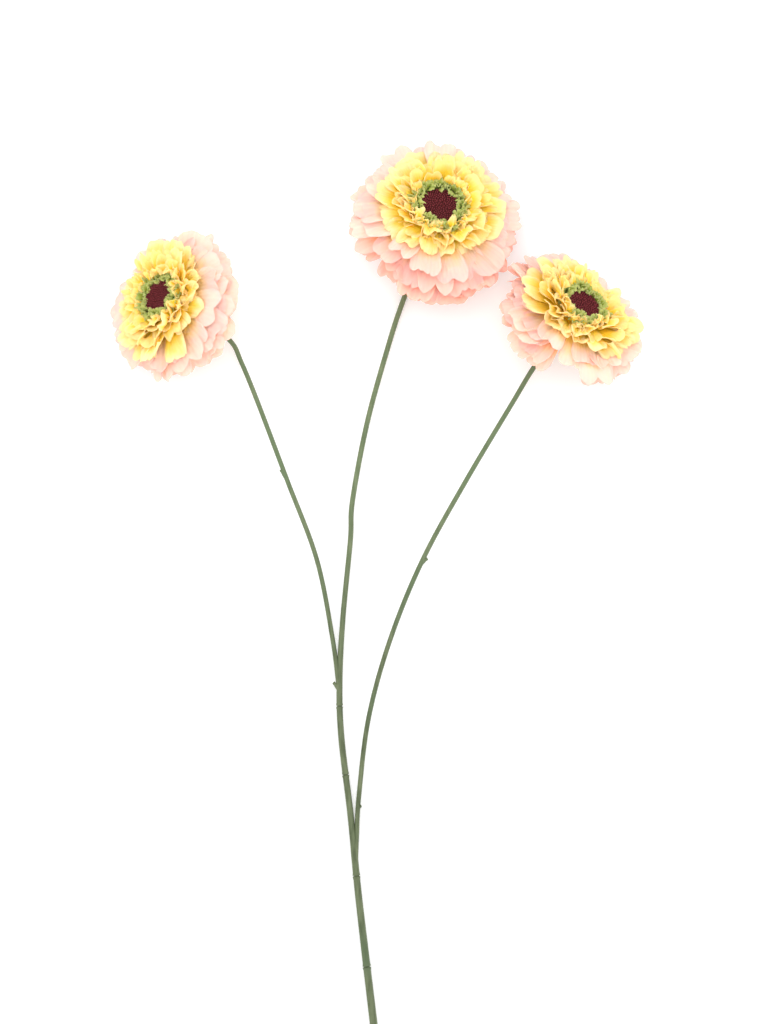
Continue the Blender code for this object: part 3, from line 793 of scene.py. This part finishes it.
def petal_points(layer, draw, scale, cloth, wear):
    """The petal's middle surface as a grid of points in the bloom's own frame, with its places."""
    along = np.linspace(ROOT_START, 1.0, cloth.rows + 1)[:, None] * np.ones((1, cloth.columns + 1))
    across = np.linspace(-1.0, 1.0, cloth.columns + 1)[None, :] * np.ones((cloth.rows + 1, 1))
    side = np.abs(across)
    lobe = np.abs(np.sin(0.5 * math.pi * wear.lobes * (across + 1.0)))
    tip = 1.0 - cloth.tip_round * side ** 4
    tip -= cloth.lobe_depth * (1.0 - lobe ** LOBE_SHARPNESS)
    tip -= draw.notch * np.exp(-((across / NOTCH_WIDTH) ** 2))
    tip += NIBBLE_DEPTH * np.sin(NIBBLE_TURNS * across + draw.phase) * np.sin(6.0 * across - draw.phase)
    reach = along * (1.0 - (1.0 - tip) * along ** 3)
    shares, radii, heights, angles = petal_path(layer, draw, scale)
    radius = np.interp(reach, shares, radii)
    height = np.interp(reach, shares, heights)
    angle = np.interp(reach, shares, angles)
    half = half_width(layer, cloth, along, radius)
    wave = np.sin(RUFFLE_TURNS * along + draw.phase + RUFFLE_SHEAR * across)
    crimp = np.sin(math.pi * cloth.ruffles * across + draw.phase)
    crimp += FINE_RUFFLE * np.sin(FINE_TURNS * math.pi * cloth.ruffles * across - draw.phase)
    past = np.maximum(along - CURL_STARTS, 0.0) / (1.0 - CURL_STARTS)
    lift = along * side * (layer.cup * half + layer.ruffle * scale * wave * along)
    lift += cloth.channel * half * across ** 2 * along
    lift += cloth.swell * scale * along ** 1.5 * (lobe - 0.6)
    lift += wear.ruffle * scale * along ** 2.5 * crimp
    lift += wear.curl * scale * past ** 2
    for slope_along, slope_across, start in wear.crumples:
        turns = CRUMPLE_TURNS[0] * slope_along * along + CRUMPLE_TURNS[1] * slope_across * across
        lift += CRUMPLE_HEIGHT * scale * along * np.sin(turns + math.pi * start)
    outward = np.array([math.cos(draw.spin), math.sin(draw.spin), 0.0])
    aside = np.array([-math.sin(draw.spin), math.cos(draw.spin), 0.0])
    up = np.array([0.0, 0.0, 1.0])
    normal = np.cos(angle)[..., None] * up - np.sin(angle)[..., None] * outward
    roll = (draw.roll * along + wear.twist * along ** 2)[..., None]
    across_way = aside * np.cos(roll) + normal * np.sin(roll)
    points = outward * radius[..., None] + up * height[..., None]
    points = points + across_way * (half * across)[..., None] + normal * lift[..., None]
    points = points + aside * (wear.bend * scale * along ** 2)[..., None]
    return points, along, across


def turn_between(spin, heading):
    """The turn from a heading to a spin, between -180 and 180 degrees."""
    return (math.degrees(spin) - heading + 180.0) % 360.0 - 180.0


def side_change(changes, spin):
    """What the changes, each a (heading, spread, change), add up to on this side."""
    total = 0.0
    for heading, spread, change in changes:
        total += change * math.exp(-((turn_between(spin, heading) / spread) ** 2))
    return total


def parted(spin, parting):
    """The spin of a petal turned away from the parting, if it is near it."""
    heading, push = parting
    off = turn_between(spin, heading)
    share = max(0.0, 1.0 - abs(off) / PARTING_SPREAD)
    return spin + math.radians(math.copysign(push * share, off))


class PetalSheet:
    """Collects petals as open grids and makes one mesh of them, each point with its place."""

    def __init__(self, bloom):
        self.bloom = bloom
        self.matrix = np.array(bloom_matrix(bloom))
        self.points = []
        self.places = []
        self.faces = []
        self.size = 0

    def add(self, layer, draw, cloth, wear):
        points, along, across = petal_points(layer, draw, self.bloom.scale, cloth, wear)
        rows, columns = along.shape
        self.points.append(points.reshape(-1, 3) @ self.matrix[:3, :3].T + self.matrix[:3, 3])
        places = np.stack([along, across, np.full_like(along, wear.tone)], axis=-1)
        self.places.append(places.reshape(-1, 3))
        corner = self.size + np.arange(rows * columns).reshape(rows, columns)
        quads = [corner[:-1, :-1], corner[1:, :-1], corner[1:, 1:], corner[:-1, 1:]]
        self.faces.append(np.stack(quads, axis=-1).reshape(-1, 4))
        self.size += rows * columns

    def add_layers(
        self, layers, cloth, tones, chance, bulges=(), tucks=(), blushes=(), folding=0.0, push=0.0
    ):
        """Every petal of the layers, each layer turned half a step from the one below. On the side
        that the bloom's tilt raises, folding shortens the petals and stands them up."""
        for number, layer in enumerate(layers):
            changes = bulges + tucks if number < TUCKED_LAYERS else bulges
            for index in range(layer.count):
                draw = draw_petal(chance, index, layer, cloth, 0.5 * number)
                spin = parted(draw.spin, (self.bloom.parting[0], push))
                raised = 0.5 - 0.5 * math.cos(spin - math.radians(self.bloom.heading))
                reach = self.bloom.reach * (1.0 + side_change(changes, spin))
                draw = draw._replace(
                    spin=spin,
                    length=draw.length * reach * (1.0 - FOLD_SHORTENING * folding * raised),
                    angle=draw.angle + FOLD_RISE * folding * raised,
                )
                tone = tones[number] + side_change(blushes, spin)
                self.add(layer, draw, cloth, draw_wear(chance, cloth, tone))

    def add_straps(self, chance):
        """The petals that lean over the disc."""
        for heading in STRAPS[self.bloom.name]:
            draw = draw_petal(chance, 0, STRAP_LAYER, STRAP_CLOTH, 0.0)
            draw = draw._replace(spin=math.radians(heading))
            self.add(STRAP_LAYER, draw, STRAP_CLOTH, draw_wear(chance, STRAP_CLOTH, STRAP_TONE))

    def mesh(self, name):
        points = np.concatenate(self.points)
        points[:, 2] = np.maximum(points[:, 2], LOWEST_CLOTH)
        mesh = bpy.data.meshes.new(name)
        mesh.from_pydata((points * MM).tolist(), [], np.concatenate(self.faces).tolist())
        place = mesh.attributes.new("petal_place", "FLOAT_VECTOR", "POINT")
        place.data.foreach_set("vector", np.concatenate(self.places).ravel())
        return mesh


def thicken(name, sheet_mesh, thickness, material):
    """A closed cloth of even thickness from the open sheet."""
    item = add_object(name, sheet_mesh)
    solid = item.modifiers.new("Thickness", "SOLIDIFY")
    solid.thickness = thickness
    solid.offset = 0.0
    solid.use_even_offset = False
    mesh = evaluated_mesh(item, name)
    item.modifiers.clear()
    item.data = mesh
    bpy.data.meshes.remove(sheet_mesh)
    mesh.materials.clear()
    mesh.materials.append(material)
    soften(mesh, 55.0)
    return item


def turned_mesh(name, profile, sides):
    """A profile of (radius, height) points turned once round +Z."""
    mesh = bpy.data.meshes.new(name)
    edges = [(index, index + 1) for index in range(len(profile) - 1)]
    mesh.from_pydata([(radius * MM, 0.0, height * MM) for radius, height in profile], edges, [])
    item = add_object(name, mesh)
    screw = item.modifiers.new("Turn", "SCREW")
    screw.steps = sides
    screw.render_steps = sides
    screw.use_merge_vertices = True
    screw.merge_threshold = WELD_REACH * MM
    turned = evaluated_mesh(item, name)
    bpy.data.objects.remove(item)
    bpy.data.meshes.remove(mesh)
    weld(turned)
    return turned


def join_into(main, others):
    """Joins the other objects into the main one."""
    for item in bpy.context.selected_objects:
        item.select_set(False)
    for item in (main, *others):
        item.select_set(True)
    bpy.context.view_layer.objects.active = main
    bpy.ops.object.join()
    return main


def hub_object(name, bloom, hub, material):
    radius, low, high = (size * bloom.scale for size in hub)
    profile = ((0.0, high), (radius, high), (radius, low), (0.0, low))
    mesh = turned_mesh(name, profile, HUB_SIDES)
    mesh.transform(in_metres(bloom_matrix(bloom)))
    mesh.materials.append(material)
    item = add_object(name, mesh)
    bevel = item.modifiers.new("Round", "BEVEL")
    bevel.width = HUB_BEVEL * MM
    bevel.segments = 3
    rounded = evaluated_mesh(item, name)
    item.modifiers.clear()
    item.data = rounded
    soften(rounded, 55.0)
    return item


class ClothSettings(bpy.types.PropertyGroup):
    thickness: FloatProperty(
        name="Thickness", description="Thickness of the petal cloth", default=0.25 * MM, unit="LENGTH"
    )
    vein_count: IntProperty(
        name="Veins", description="Pressed veins across half a petal", default=9
    )
    vein_shade: FloatProperty(
        name="Vein shade", description="How much darker a vein is than the cloth", default=0.03
    )
    dye_spacing: FloatProperty(
        name="Dye blotches", description="Distance between blotches of dye in mm", default=8.0
    )
    dye_bleed: FloatProperty(
        name="Dye bleed", description="How far the dye strays, as a share of the petal", default=0.35
    )
    side_paling: FloatProperty(
        name="Side paling", description="How much of the rim's colour runs down the sides", default=0.2
    )
    weave_spacing: FloatProperty(
        name="Weave", description="Thread spacing in mm, drawn coarser than life to show", default=0.6
    )
    weave_share: FloatProperty(
        name="Weave relief", description="Relief of the weave as a share of the veins'", default=0.5
    )
    glow: FloatProperty(
        name="Glow", description="Share of the light that passes into the cloth", default=1.0
    )
    glow_depth: FloatProperty(
        name="Glow depth",
        description="How far light goes between two threads: half the cloth's thickness glows through",
        default=1.3 * MM,
        unit="LENGTH",
    )


def colour_property(name, description, code):
    return FloatVectorProperty(
        name=name, description=description, default=linear(code), subtype="COLOR", min=0.0, max=1.0
    )


class PinkSettings(bpy.types.PropertyGroup):
    root_colour: colour_property("Root", "Colour at the root of a pink petal", "F6A838")
    heart_colour: colour_property("Heart", "Colour of its hidden lower part", "F28E6A")
    body_colour: colour_property("Body", "Colour of its open part", "F1A094")
    rim_colour: colour_property("Rim", "Colour of its rim", "F2B7AD")
    pale_root: colour_property("Pale root", "Colour at the root of a pale petal", "F6BA1C")
    pale_heart: colour_property("Pale heart", "Colour of its hidden lower part", "F6D27A")
    pale_body: colour_property("Pale body", "Colour of its open part", "F6D3C4")
    pale_rim: colour_property("Pale rim", "Colour of its rim", "F5C8C0")


class YellowSettings(bpy.types.PropertyGroup):
    root_colour: colour_property("Root", "Colour at the root of a yellow petal", "ECB608")
    heart_colour: colour_property("Heart", "Colour of its hidden lower part", "F0CC1A")
    body_colour: colour_property("Body", "Colour of its open part", "F3CE3E")
    rim_colour: colour_property("Rim", "Colour of its rim", "F4D890")
    pale_root: colour_property("Pale root", "Colour at the root of a pale petal", "ECB608")
    pale_heart: colour_property("Pale heart", "Colour of its hidden lower part", "F1CE20")
    pale_body: colour_property("Pale body", "Colour of its open part", "F4D458")
    pale_rim: colour_property("Pale rim", "Colour of its rim", "F5DEA8")


class FrillSettings(bpy.types.PropertyGroup):
    thickness: FloatProperty(
        name="Thickness", description="Thickness of the fringe", default=0.3 * MM, unit="LENGTH"
    )
    root_colour: colour_property("Root", "Colour of the fringe's roots", "7C8E2C")
    body_colour: colour_property("Body", "Colour of the fringe", "A3B040")
    tooth_colour: colour_property("Teeth", "Colour of its cut teeth", "CCD27C")
    # The band's dark colour is painted shade under the fringe.
    band_shade_colour: colour_property("Band", "Colour of the felt under it", "3E2414")


class DiscSettings(bpy.types.PropertyGroup):
    bristle_height: FloatProperty(
        name="Bristles", description="Height of the bristles", default=1.5 * MM, unit="LENGTH"
    )
    bristle_radius: FloatProperty(
        name="Bristle radius", description="Radius of a bristle", default=0.42 * MM, unit="LENGTH"
    )
    # Painted shade: the dark colour on the dish and at the bristles' feet, where shade falls between them.
    painted_depth_shade: colour_property("Depths", "Colour between the bristles", "4A1A1A")
    body_colour: colour_property("Body", "Colour of the bristles", "7E2E36")
    tip_colour: colour_property("Tips", "Colour of their tips", "96464A")


class StemSettings(bpy.types.PropertyGroup):
    streak_stretch: FloatProperty(
        name="Streaks", description="How far the streaks are drawn out along the stem", default=0.16
    )
    mottle_spacing: FloatProperty(
        name="Mottle", description="Width of the mottling in mm", default=2.2
    )
    patch_spacing: FloatProperty(
        name="Patches", description="Distance between greener patches in mm", default=48.0
    )
    dark_colour: colour_property("Dark", "Darkest paint on the stem", "4A5439")
    body_colour: colour_property("Body", "Main paint on the stem", "5F6A4C")
    light_colour: colour_property("Light", "Palest paint on the stem", "778161")
    patch_colour: colour_property("Patch", "Greener patches on the stem", "56684A")
    upper_colour: colour_property("Upper", "Paler paint towards the blooms", "849A70")


class StageSettings(bpy.types.PropertyGroup):
    floor_size: FloatProperty(
        name="Floor", description="Side of the floor", default=12.0, unit="LENGTH"
    )
    floor_colour: colour_property("Floor", "Colour of the floor", "F7F7F7")
    floor_glow: FloatProperty(
        name="Floor glow", description="Strength of the light from below the floor", default=0.2
    )
    sky: FloatProperty(name="Sky", description="Strength of the even light all round", default=1.05)
    key: FloatProperty(
        name="Key light", description="Power of the soft light overhead", default=8.0, unit="POWER"
    )


class ZINNIA_OT_calyxes(bpy.types.Operator):
    """Green cups under the blooms, with their whorl of bracts."""

    bl_idname = "zinnia.calyxes"
    bl_label = "Calyxes"

    def execute(self, context):
        material = stem_vinyl("Moulded green vinyl cup", context.scene.zinnia_stem)
        for bloom in BLOOMS:
            name = f"{bloom.name}_calyx_cup"
            sheet = PetalSheet(bloom)
            sheet.add_layers(BRACT_LAYERS, BRACT_CLOTH, (0.0,), random.Random(bloom.seed))
            piece = thicken(name, sheet.mesh(name), 0.6 * MM, material)
            profile = [(radius * bloom.scale, height * bloom.scale) for radius, height in CALYX_PROFILE]
            cup = turned_mesh(f"{name}_core", profile, CALYX_SIDES)
            cup.transform(in_metres(bloom_matrix(bloom)))
            cup.materials.append(material)
            soften(cup, 55.0)
            join_into(piece, [add_object(f"{name}_core", cup)])
            install(piece, f"{bloom.name}_calyx")
        return {"FINISHED"}


class ZINNIA_OT_outer_petals(bpy.types.Operator):
    """Layers of broad pink petals round each bloom, from coral below to pale above."""

    bl_idname = "zinnia.outer_petals"
    bl_label = "Outer petals"

    def execute(self, context):
        look = context.scene.zinnia_cloth
        pink = context.scene.zinnia_pink
        stops = (
            (0.20, pink.root_colour),
            (0.99, pink.rim_colour),
            (0.54, pink.heart_colour),
            (0.80, pink.body_colour),
        )
        pale_stops = (
            (0.20, pink.pale_root),
            (0.97, pink.pale_rim),
            (0.50, pink.pale_heart),
            (0.78, pink.pale_body),
        )
        material = petal_cloth("Dyed pink polyester petal cloth", stops, pale_stops)
        for bloom in BLOOMS:
            name = f"{bloom.name}_outer_petals_cloth"
            sheet = PetalSheet(bloom)
            chance = random.Random(bloom.seed + 1)
            layers = [
                layer._replace(count=round(layer.count * bloom.crowding)) for layer in PINK_SHEETS
            ]
            sheet.add_layers(
                layers,
                OUTER_CLOTH,
                PINK_TONES,
                chance,
                bulges=bloom.bulges,
                tucks=bloom.tucks,
                blushes=bloom.blushes,
                push=bloom.parting[1],
            )
            piece = thicken(name, sheet.mesh(name), look.thickness, material)
            join_into(piece, [hub_object(f"{name}_hub", bloom, OUTER_HUB, material)])
            install(piece, f"{bloom.name}_outer_petals")
        return {"FINISHED"}


class ZINNIA_OT_inner_petals(bpy.types.Operator):
    """Layers of yellow petals, with narrower ones crumpled in between."""

    bl_idname = "zinnia.inner_petals"
    bl_label = "Inner petals"

    def execute(self, context):
        look = context.scene.zinnia_cloth
        yellow = context.scene.zinnia_yellow
        stops = (
            (0.15, yellow.root_colour),
            (0.95, yellow.rim_colour),
            (0.44, yellow.heart_colour),
            (0.70, yellow.body_colour),
        )
        pale_stops = (
            (0.12, yellow.pale_root),
            (0.94, yellow.pale_rim),
            (0.42, yellow.pale_heart),
            (0.70, yellow.pale_body),
        )
        material = petal_cloth("Dyed yellow polyester petal cloth", stops, pale_stops)
        for bloom in BLOOMS:
            chance = random.Random(bloom.seed + 2)
            name = f"{bloom.name}_inner_petals_cloth"
            sheet = PetalSheet(bloom)
            sheet.add_layers(YELLOW_SHEETS, INNER_CLOTH, YELLOW_TONES, chance, bloom.swells, folding=1.0)
            sheet.add_layers(FILLER_SHEETS, FILLER_CLOTH, FILLER_TONES, chance, bloom.swells, folding=1.0)
            sheet.add_straps(chance)
            piece = thicken(name, sheet.mesh(name), look.thickness, material)
            join_into(piece, [hub_object(f"{name}_hub", bloom, INNER_HUB, material)])
            install(piece, f"{bloom.name}_inner_petals")
        return {"FINISHED"}


class ZINNIA_OT_florets(bpy.types.Operator):
    """Green toothed fringe round each disc, on a dark band of painted shade."""

    bl_idname = "zinnia.florets"
    bl_label = "Florets"

    def execute(self, context):
        look = context.scene.zinnia_frill
        green, brown = frill_cloth(), painted_shade_band()
        for bloom in BLOOMS:
            chance = random.Random(bloom.seed + 3)
            name = f"{bloom.name}_florets_fringe"
            sheet = PetalSheet(bloom)
            sheet.add_layers(FRILL_LAYERS, FRILL_CLOTH, FRILL_TONES, chance)
            piece = thicken(name, sheet.mesh(name), look.thickness, green)
            ring = [*BAND_PROFILE, BAND_PROFILE[0]]
            profile = [(radius * bloom.scale, height * bloom.scale) for radius, height in reversed(ring)]
            band = turned_mesh(f"{name}_band", profile, BAND_SIDES)
            band.transform(in_metres(bloom_matrix(bloom)))
            # The band is a dark sheet of painted shade under the fringe.
            band.materials.append(brown)
            soften(band, 55.0)
            join_into(piece, [add_object(f"{name}_band", band)])
            install(piece, f"{bloom.name}_florets")
        return {"FINISHED"}


def add_bristle(mesh_maker, height_layer, foot, lean, height, radius):
    """A short round-ended bristle as three rings and a tip point."""
    turn = lean.to_track_quat("Z", "X").to_matrix()
    rings = []
    for share, width in ((0.0, 1.0), (0.55, 0.95), (0.88, 0.62)):
        ring = []
        for side in range(BRISTLE_SIDES):
            angle = 2.0 * math.pi * side / BRISTLE_SIDES
            spoke = Vector((math.cos(angle) * width * radius, math.sin(angle) * width * radius, 0.0))
            vertex = mesh_maker.verts.new(foot + turn @ spoke + lean * (height * share))
            vertex[height_layer] = share
            ring.append(vertex)
        rings.append(ring)
    tip = mesh_maker.verts.new(foot + lean * height)
    tip[height_layer] = 1.0
    for low, high in zip(rings, rings[1:]):
        for side in range(BRISTLE_SIDES):
            after = (side + 1) % BRISTLE_SIDES
            mesh_maker.faces.new((low[side], low[after], high[after], high[side]))
    for side in range(BRISTLE_SIDES):
        mesh_maker.faces.new((rings[-1][side], rings[-1][(side + 1) % BRISTLE_SIDES], tip))
    mesh_maker.faces.new(list(reversed(rings[0])))


class ZINNIA_OT_discs(bpy.types.Operator):
    """Burgundy discs: a shallow dish set with flocked bristles."""

    bl_idname = "zinnia.discs"
    bl_label = "Discs"

    def execute(self, context):
        look = context.scene.zinnia_disc
        material = disc_flock()
        for bloom in BLOOMS:
            extra = random.Random(bloom.seed + 5)
            name = f"{bloom.name}_disc_flock"
            profile = [(radius * bloom.scale, height * bloom.scale) for radius, height in DISC_PROFILE]
            mesh = turned_mesh(name, profile, DISC_SIDES)
            mesh_maker = bmesh.new()
            mesh_maker.from_mesh(mesh)
            height_layer = mesh_maker.verts.layers.float.new("bristle_height")
            radii = [radius for radius, height in DISC_PROFILE[:6]]
            heights = [height for radius, height in DISC_PROFILE[:6]]
            for number in range(BRISTLE_COUNT):
                share = math.sqrt((number + 0.5) / BRISTLE_COUNT)
                radius = BRISTLE_REACH * share
                angle = math.radians(GOLDEN_ANGLE * number)
                level = float(np.interp(radius, radii, heights)) - 0.2
                foot = Vector((math.cos(angle) * radius, math.sin(angle) * radius, level))
                lean = Vector(
                    (
                        foot.x * 0.05 + extra.uniform(-0.25, 0.25),
                        foot.y * 0.05 + extra.uniform(-0.25, 0.25),
                        1.0,
                    )
                ).normalized()
                height = look.bristle_height * extra.uniform(0.6, 1.1) * bloom.scale
                add_bristle(
                    mesh_maker,
                    height_layer,
                    foot * bloom.scale * MM,
                    lean,
                    height,
                    look.bristle_radius * bloom.scale,
                )
            mesh_maker.to_mesh(mesh)
            mesh_maker.free()
            mesh.transform(in_metres(bloom_matrix(bloom)))
            mesh.materials.append(material)
            soften(mesh, 55.0)
            install(add_object(name, mesh), f"{bloom.name}_disc")
        return {"FINISHED"}


def curve_between(before, start, end, after, share):
    """Catmull-Rom blend of four route points, position and radius alike."""
    values = []
    for a, b, c, d in zip(before, start, end, after):
        slope_in, slope_out = 0.5 * (c - a), 0.5 * (d - b)
        rest = (1 - share) ** 2 * (1 + 2 * share) * b + share ** 2 * (3 - 2 * share) * c
        rest += share * (1 - share) ** 2 * slope_in - share ** 2 * (1 - share) * slope_out
        values.append(rest)
    return values


def smooth_route(points, end_way):
    """The route as a dense list of (x, y, z, radius), which ends heading along end_way."""
    reach = NECK_PULL * math.dist(points[-1][:3], points[-2][:3])
    before_first = [2.0 * a - b for a, b in zip(points[0], points[1])]
    after_last = [a + 2.0 * reach * way for a, way in zip(points[-2], (*end_way, 0.0))]
    padded = [before_first, *points, after_last]
    dense = []
    for index in range(1, len(padded) - 2):
        four = padded[index - 1 : index + 3]
        dense += [curve_between(*four, piece / ROUTE_PIECES) for piece in range(ROUTE_PIECES)]
    dense.append(list(points[-1]))
    return dense


def stations(dense, ring_levels):
    """The dense route in even steps, with a pinched joint between raised lips at each level."""
    lengths = [0.0]
    for here, there in zip(dense, dense[1:]):
        lengths.append(lengths[-1] + math.dist(here[:3], there[:3]))
    total = lengths[-1]
    steps = round(total / STATION_SPACING)
    marks = [(total * step / steps, 1.0) for step in range(steps + 1)]
    for level in ring_levels:
        nearest = min(range(len(dense)), key=lambda k: abs(dense[k][1] - level))
        middle = lengths[nearest]
        marks = [mark for mark in marks if abs(mark[0] - middle) > RING_CLEARANCE]
        marks += [(middle + shift, swell) for shift, swell in RING_STEPS]
    marks.sort()
    table = np.array(dense)
    spots = np.array([mark for mark, swell in marks])
    columns = [np.interp(spots, lengths, table[:, column]) for column in range(4)]
    swells = [swell for mark, swell in marks]
    return [(x, y, z, radius * swell) for x, y, z, radius, swell in zip(*columns, swells)]


def ribbed_profile():
    """A circle of 1 mm radius with low ribs, as the section that the stem is drawn along."""
    curve = bpy.data.curves.new("stem_section", "CURVE")
    curve.dimensions = "2D"
    spline = curve.splines.new("POLY")
    spline.points.add(STEM_SIDES - 1)
    spline.use_cyclic_u = True
    for side, knot in enumerate(spline.points):
        angle = 2.0 * math.pi * side / STEM_SIDES
        radius = 1.0 + RIB_HEIGHT * math.cos(RIB_COUNT * angle)
        knot.co = (radius * math.cos(angle) * MM, radius * math.sin(angle) * MM, 0.0, 1.0)
    return add_object("stem_section", curve)


def tube_object(name, points, section):
    """A tube along the points with the given section, as a welded mesh."""
    curve = bpy.data.curves.new(name, "CURVE")
    curve.dimensions = "3D"
    curve.bevel_mode = "OBJECT"
    curve.bevel_object = section
    curve.use_fill_caps = True
    spline = curve.splines.new("POLY")
    spline.points.add(len(points) - 1)
    for knot, (x, y, z, radius) in zip(spline.points, points):
        knot.co = (x * MM, y * MM, z * MM, 1.0)
        knot.radius = radius
    item = add_object(name, curve)
    mesh = evaluated_mesh(item, name)
    bpy.data.objects.remove(item)
    bpy.data.curves.remove(curve)
    weld(mesh)
    return add_object(name, mesh)


def scar_object(name, place, heading, length, section):
    """A leaf scar: the stub of a cut leaf stalk, which widens into the stem."""
    way = Vector((math.cos(math.radians(heading)), math.sin(math.radians(heading)), SCAR_RISE))
    points = [(*(Vector(place) + way * length * share), radius) for share, radius in SCAR_SHAPE]
    return tube_object(name, points, section)


class ZINNIA_OT_stem(bpy.types.Operator):
    """The forked stem, ribbed lengthwise, with its pinched joints and leaf scars."""

    bl_idname = "zinnia.stem"
    bl_label = "Stem"

    def execute(self, context):
        blooms = {bloom.name: bloom for bloom in BLOOMS}
        section = ribbed_profile()
        tubes = []
        for name, route in ROUTES:
            bloom = blooms[name]
            matrix = bloom_matrix(bloom)
            end = matrix @ Vector((0.0, 0.0, CALYX_BASE * bloom.scale - SEAT_GAP))
            axis = matrix.to_3x3() @ Vector((0.0, 0.0, 1.0))
            dense = smooth_route([*route, (*end, NECK_RADIUS)], axis)
            levels = RING_LEVELS if name == "top" else ()
            tubes.append(tube_object(f"{name}_branch", stations(dense, levels), section))
        for number, (place, heading, length) in enumerate(SCARS):
            tubes.append(scar_object(f"scar_{number}", place, heading, length, section))
        main = tubes[0]
        main.name = "stem_vinyl"
        branches = bpy.data.collections.new("stem_branches")
        bpy.context.scene.collection.children.link(branches)
        for item in tubes[1:]:
            bpy.context.scene.collection.objects.unlink(item)
            branches.objects.link(item)
        union = main.modifiers.new("Join", "BOOLEAN")
        union.operation = "UNION"
        union.operand_type = "COLLECTION"
        union.collection = branches
        union.solver = "EXACT"
        joined = evaluated_mesh(main, "stem_vinyl")
        main.modifiers.clear()
        main.data = joined
        for item in tubes[1:]:
            bpy.data.objects.remove(item)
        bpy.data.collections.remove(branches)
        bpy.data.objects.remove(section)
        joined.materials.clear()
        joined.materials.append(stem_vinyl("Painted vinyl stem", context.scene.zinnia_stem))
        soften(joined, 50.0)
        install(main, "stem")
        return {"FINISHED"}


def aim(item, target):
    way = Vector(target) - item.location
    item.rotation_euler = way.to_track_quat("-Z", "Y").to_euler()


class ZINNIA_OT_stage(bpy.types.Operator):
    """Pale floor, soft studio light and the camera that looks down as the photograph does."""

    bl_idname = "zinnia.stage"
    bl_label = "Stage"

    def execute(self, context):
        look = context.scene.zinnia_stage
        bpy.ops.mesh.primitive_plane_add(size=look.floor_size, location=(0.0, 0.0, 0.0))
        floor = context.object
        floor.name = "floor"
        floor.data.materials.append(floor_paper())
        world = bpy.data.worlds.new("Studio")
        context.scene.world = world
        world.use_nodes = True
        background = world.node_tree.nodes["Background"]
        background.inputs["Color"].default_value = (1.0, 1.0, 1.0, 1.0)
        background.inputs["Strength"].default_value = look.sky
        lamp = bpy.data.lights.new("key", "AREA")
        lamp.energy = look.key
        lamp.size = 0.9
        key = add_object("key", lamp)
        key.location = (-0.05, 0.40, 1.55)
        aim(key, (0.0, 0.1, 0.0))
        camera = bpy.data.cameras.new("camera")
        camera.lens = LENS
        camera.sensor_width = SENSOR
        view = add_object("camera", camera)
        distance = PHOTO_SIZE[1] * PIXEL * LENS / SENSOR
        view.location = (VIEW_MIDDLE[0] * MM, VIEW_MIDDLE[1] * MM, (BLOOM_PLANE + distance) * MM)
        camera.clip_end = 50.0
        context.scene.camera = view
        context.scene.view_settings.view_transform = "Standard"
        return {"FINISHED"}


class ZINNIA_PT_spray(bpy.types.Panel):
    """The spray's parts, in the order in which they are made."""

    bl_idname = "ZINNIA_PT_spray"
    bl_label = "Zinnia spray"
    bl_space_type = "VIEW_3D"
    bl_region_type = "UI"
    bl_category = "Zinnia"

    def draw(self, context):
        for operator in OPERATORS:
            self.layout.operator(operator.bl_idname)
        for name, kind in SETTINGS:
            box = self.layout.box()
            box.label(text=kind.__name__.replace("Settings", ""))
            settings = getattr(context.scene, name)
            for field in kind.__annotations__:
                box.prop(settings, field)


SETTINGS = (
    ("zinnia_cloth", ClothSettings),
    ("zinnia_pink", PinkSettings),
    ("zinnia_yellow", YellowSettings),
    ("zinnia_frill", FrillSettings),
    ("zinnia_disc", DiscSettings),
    ("zinnia_stem", StemSettings),
    ("zinnia_stage", StageSettings),
)
OPERATORS = (
    ZINNIA_OT_stage,
    ZINNIA_OT_stem,
    ZINNIA_OT_calyxes,
    ZINNIA_OT_outer_petals,
    ZINNIA_OT_inner_petals,
    ZINNIA_OT_florets,
    ZINNIA_OT_discs,
)


def register():
    for name, kind in SETTINGS:
        bpy.utils.register_class(kind)
        setattr(bpy.types.Scene, name, PointerProperty(type=kind))
    for operator in OPERATORS:
        bpy.utils.register_class(operator)
    bpy.utils.register_class(ZINNIA_PT_spray)


def unregister():
    bpy.utils.unregister_class(ZINNIA_PT_spray)
    for operator in reversed(OPERATORS):
        bpy.utils.unregister_class(operator)
    for name, kind in reversed(SETTINGS):
        delattr(bpy.types.Scene, name)
        bpy.utils.unregister_class(kind)


def main():
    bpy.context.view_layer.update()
    register()
    bpy.ops.zinnia.stage()
    bpy.ops.zinnia.stem()
    bpy.ops.zinnia.calyxes()
    bpy.ops.zinnia.outer_petals()
    bpy.ops.zinnia.inner_petals()
    bpy.ops.zinnia.florets()
    bpy.ops.zinnia.discs()
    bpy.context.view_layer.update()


if __name__ == "__main__":
    main()
